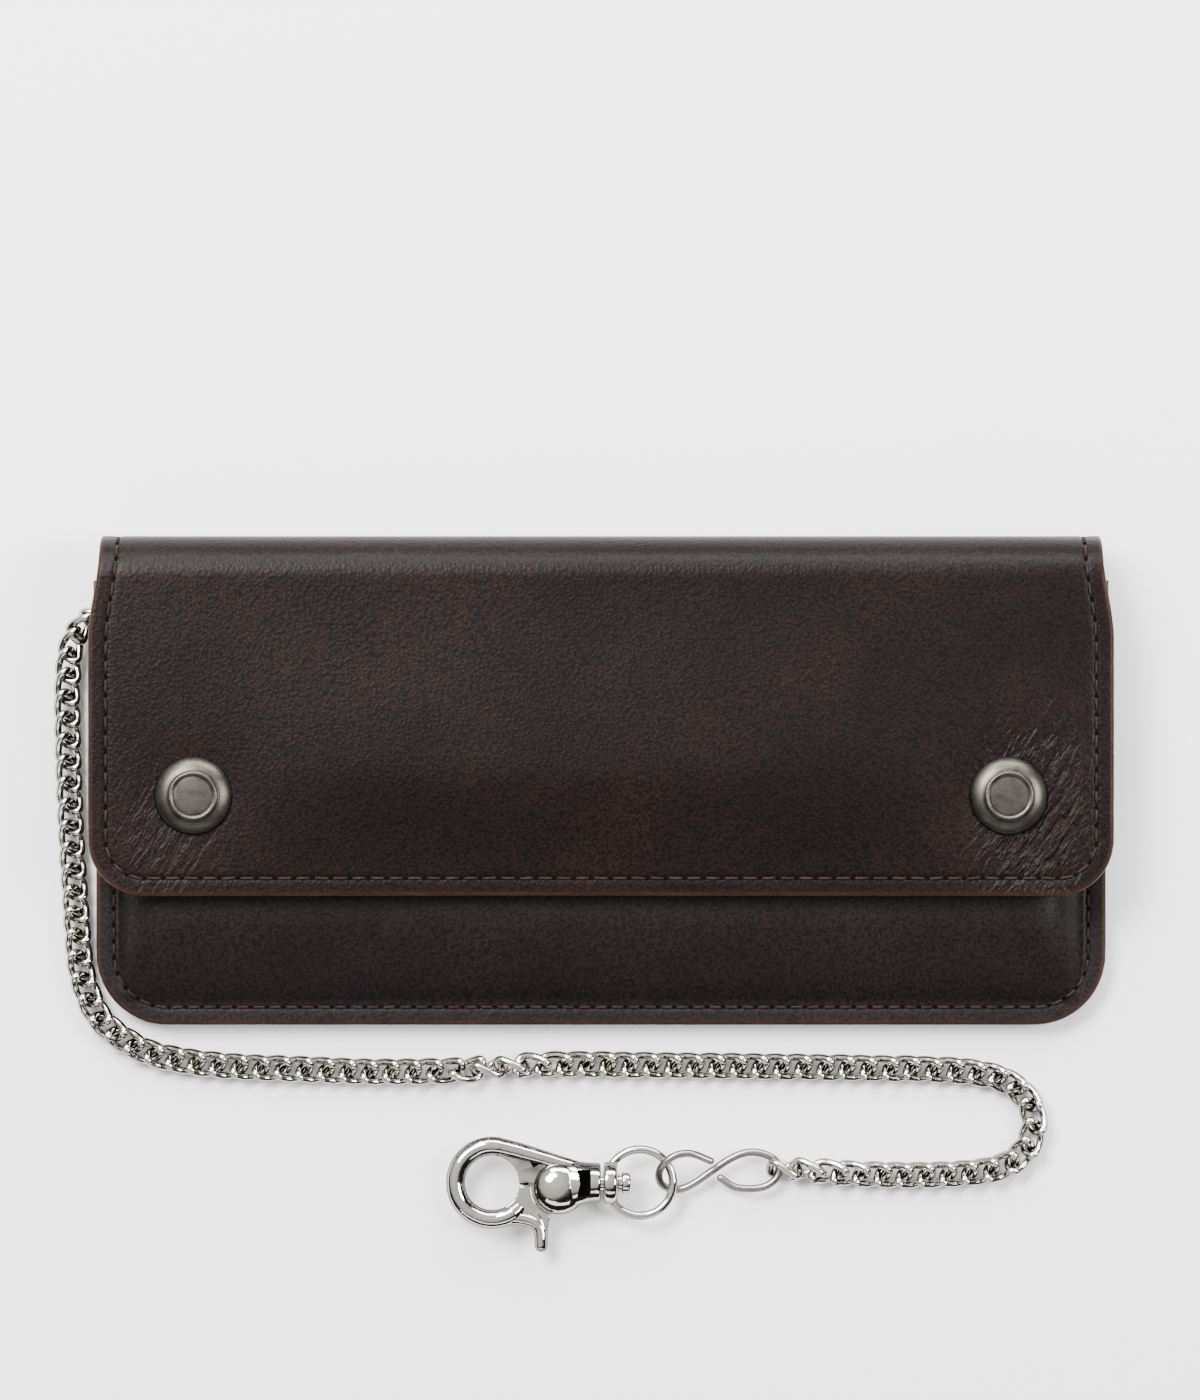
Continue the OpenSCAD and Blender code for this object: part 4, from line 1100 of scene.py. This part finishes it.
def make_tab(m):
    """The leather loop round the ring's bar."""
    low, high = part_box("ring_tab")
    ring_low, ring_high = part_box("d_ring")
    bar_x, bar_z = ring_high.x - 0.9 * MM, (ring_low.z + ring_high.z) / 2
    slab = low.z + 2.2 * MM
    outline = ([(high.x, slab), (bar_x + 4 * MM, slab), (bar_x + 1.3 * MM, bar_z + 2.0 * MM)]
        + arc(bar_x, bar_z, TAB_OUTER, 74, 268, 20)
        + [(bar_x + 1.5 * MM, low.z + 0.02 * MM), (high.x, low.z + 0.02 * MM)])
    tab = casting("ring_tab_leather", outline, low.y, high.y, 0.35 * MM, m["outer"], 3)
    tab.data.vertices.foreach_set("co", vertex_rows(tab)[:, [0, 2, 1]].ravel())
    tab.data.flip_normals()
    near, far = low.y - MM, high.y + MM
    bar = mesh_object("bore", *lathe([(0, near), (TAB_INNER, near), (TAB_INNER, far), (0, far)], 32),
        [m["outer"]])
    for v in bar.data.vertices:
        v.co = Vector((v.co.x + bar_x, v.co.z, v.co.y + bar_z))
    bar.data.flip_normals()
    cut_with(tab, bar)
    flat_map(tab, vertex_rows(tab)[:, :2])
    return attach(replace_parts(tab, "ring_tab"), "wallet")


def paint_nodes(m):
    """Materials for the CAD nodes that show as they are."""
    finish = {"d_ring": "chain", "gate_pin": "hook", "gate_spring": "spring", "tab_thread": "thread"}
    for side in ("left", "right"):
        for part in ("socket", "stud", "eyelet"):
            finish[f"snap_{part}_{side}"] = "snap"
        finish[f"snap_spring_{side}"] = "spring"
    for node, key in finish.items():
        obj = frame["nodes"][node]
        obj.data.materials.clear()
        obj.data.materials.append(m[key])
        obj.data.set_sharp_from_angle(angle=math.radians(35))


# --- studio
LIGHTS = (("key", (-0.55, 0.60, 1.05), 0.70, 0.50, 46.0), ("top", (0.10, 1.00, 0.60), 1.30, 0.35, 26.0),
    ("fill", (0.90, 0.10, 0.95), 0.50, 0.50, 20.0), ("front", (-0.10, -1.00, 0.75), 1.60, 0.30, 4.0))
SKY_TOP = (-0.30, 0.42, 0.86)  # the brightest direction
SKY_LEVELS = ((0.40, 0.015), (0.52, 0.10), (0.66, 0.62), (0.80, 0.72), (0.93, 0.95))
SKY_STRENGTH = 1.12
FLOOR_HALF = 3.0


def make_floor():
    floor = bpy.data.meshes.new("floor")
    half = FLOOR_HALF
    corners = [(-half, -half, 0), (half, -half, 0), (half, half, 0), (-half, half, 0)]
    floor.from_pydata(corners, [], [(0, 1, 2, 3)])
    floor_obj = bpy.data.objects.new("floor", floor)
    bpy.context.collection.objects.link(floor_obj)
    floor_obj.location.z = -0.08 * MM
    n = Nodes("floor")
    place = n.place()
    n.set(Base_Color=n.mix(n.noise(place, 3), rgb(0.93, 0.93, 0.93), rgb(0.95, 0.95, 0.95)), Roughness=0.9)
    floor.materials.append(n.material)


def make_sky():
    """A soft white dome that darkens away from its brightest direction."""
    world = bpy.data.worlds.new("studio")
    bpy.context.scene.world = world
    world.use_nodes = True
    tree = world.node_tree
    back = tree.nodes["Background"]
    coord = tree.nodes.new("ShaderNodeTexCoord")
    lean = tree.nodes.new("ShaderNodeVectorMath")
    lean.operation = "DOT_PRODUCT"
    lean.inputs[1].default_value = Vector(SKY_TOP).normalized()
    ramp = tree.nodes.new("ShaderNodeValToRGB")
    tree.links.new(coord.outputs["Generated"], lean.inputs[0])
    tree.links.new(lean.outputs["Value"], ramp.inputs[0])
    tree.links.new(ramp.outputs[0], back.inputs["Color"])
    stops = ramp.color_ramp.elements
    stops[0].position, stops[0].color = 0.0, (0.02, 0.02, 0.02, 1)
    stops[1].position, stops[1].color = 1.0, (1.0, 1.0, 1.0, 1)
    for position, level in SKY_LEVELS:
        stop = stops.new(position)
        stop.color = (level, level, level, 1)
    back.inputs["Strength"].default_value = SKY_STRENGTH


def make_lights():
    for name, place, wide, tall, power in LIGHTS:
        data = bpy.data.lights.new(name, "AREA")
        data.shape, data.size, data.size_y, data.energy = "RECTANGLE", wide, tall, power
        light = bpy.data.objects.new(name, data)
        light.location = place
        light.rotation_euler = (-Vector(place)).to_track_quat("-Z", "Y").to_euler()
        bpy.context.collection.objects.link(light)


make_camera()
MATERIALS = make_materials()
curb_chain, chain_path = make_chain(MATERIALS)
s_hook = make_s_hook(MATERIALS)
swivel_ring, swivel_post = make_swivel(MATERIALS)
hook_body = make_hook_body(MATERIALS)
gate = make_gate(MATERIALS)
paint_nodes(MATERIALS)
make_leather(MATERIALS)
make_inside(MATERIALS)
make_thread(MATERIALS)
make_snaps(MATERIALS)
make_tab(MATERIALS)
make_floor()
make_sky()
make_lights()
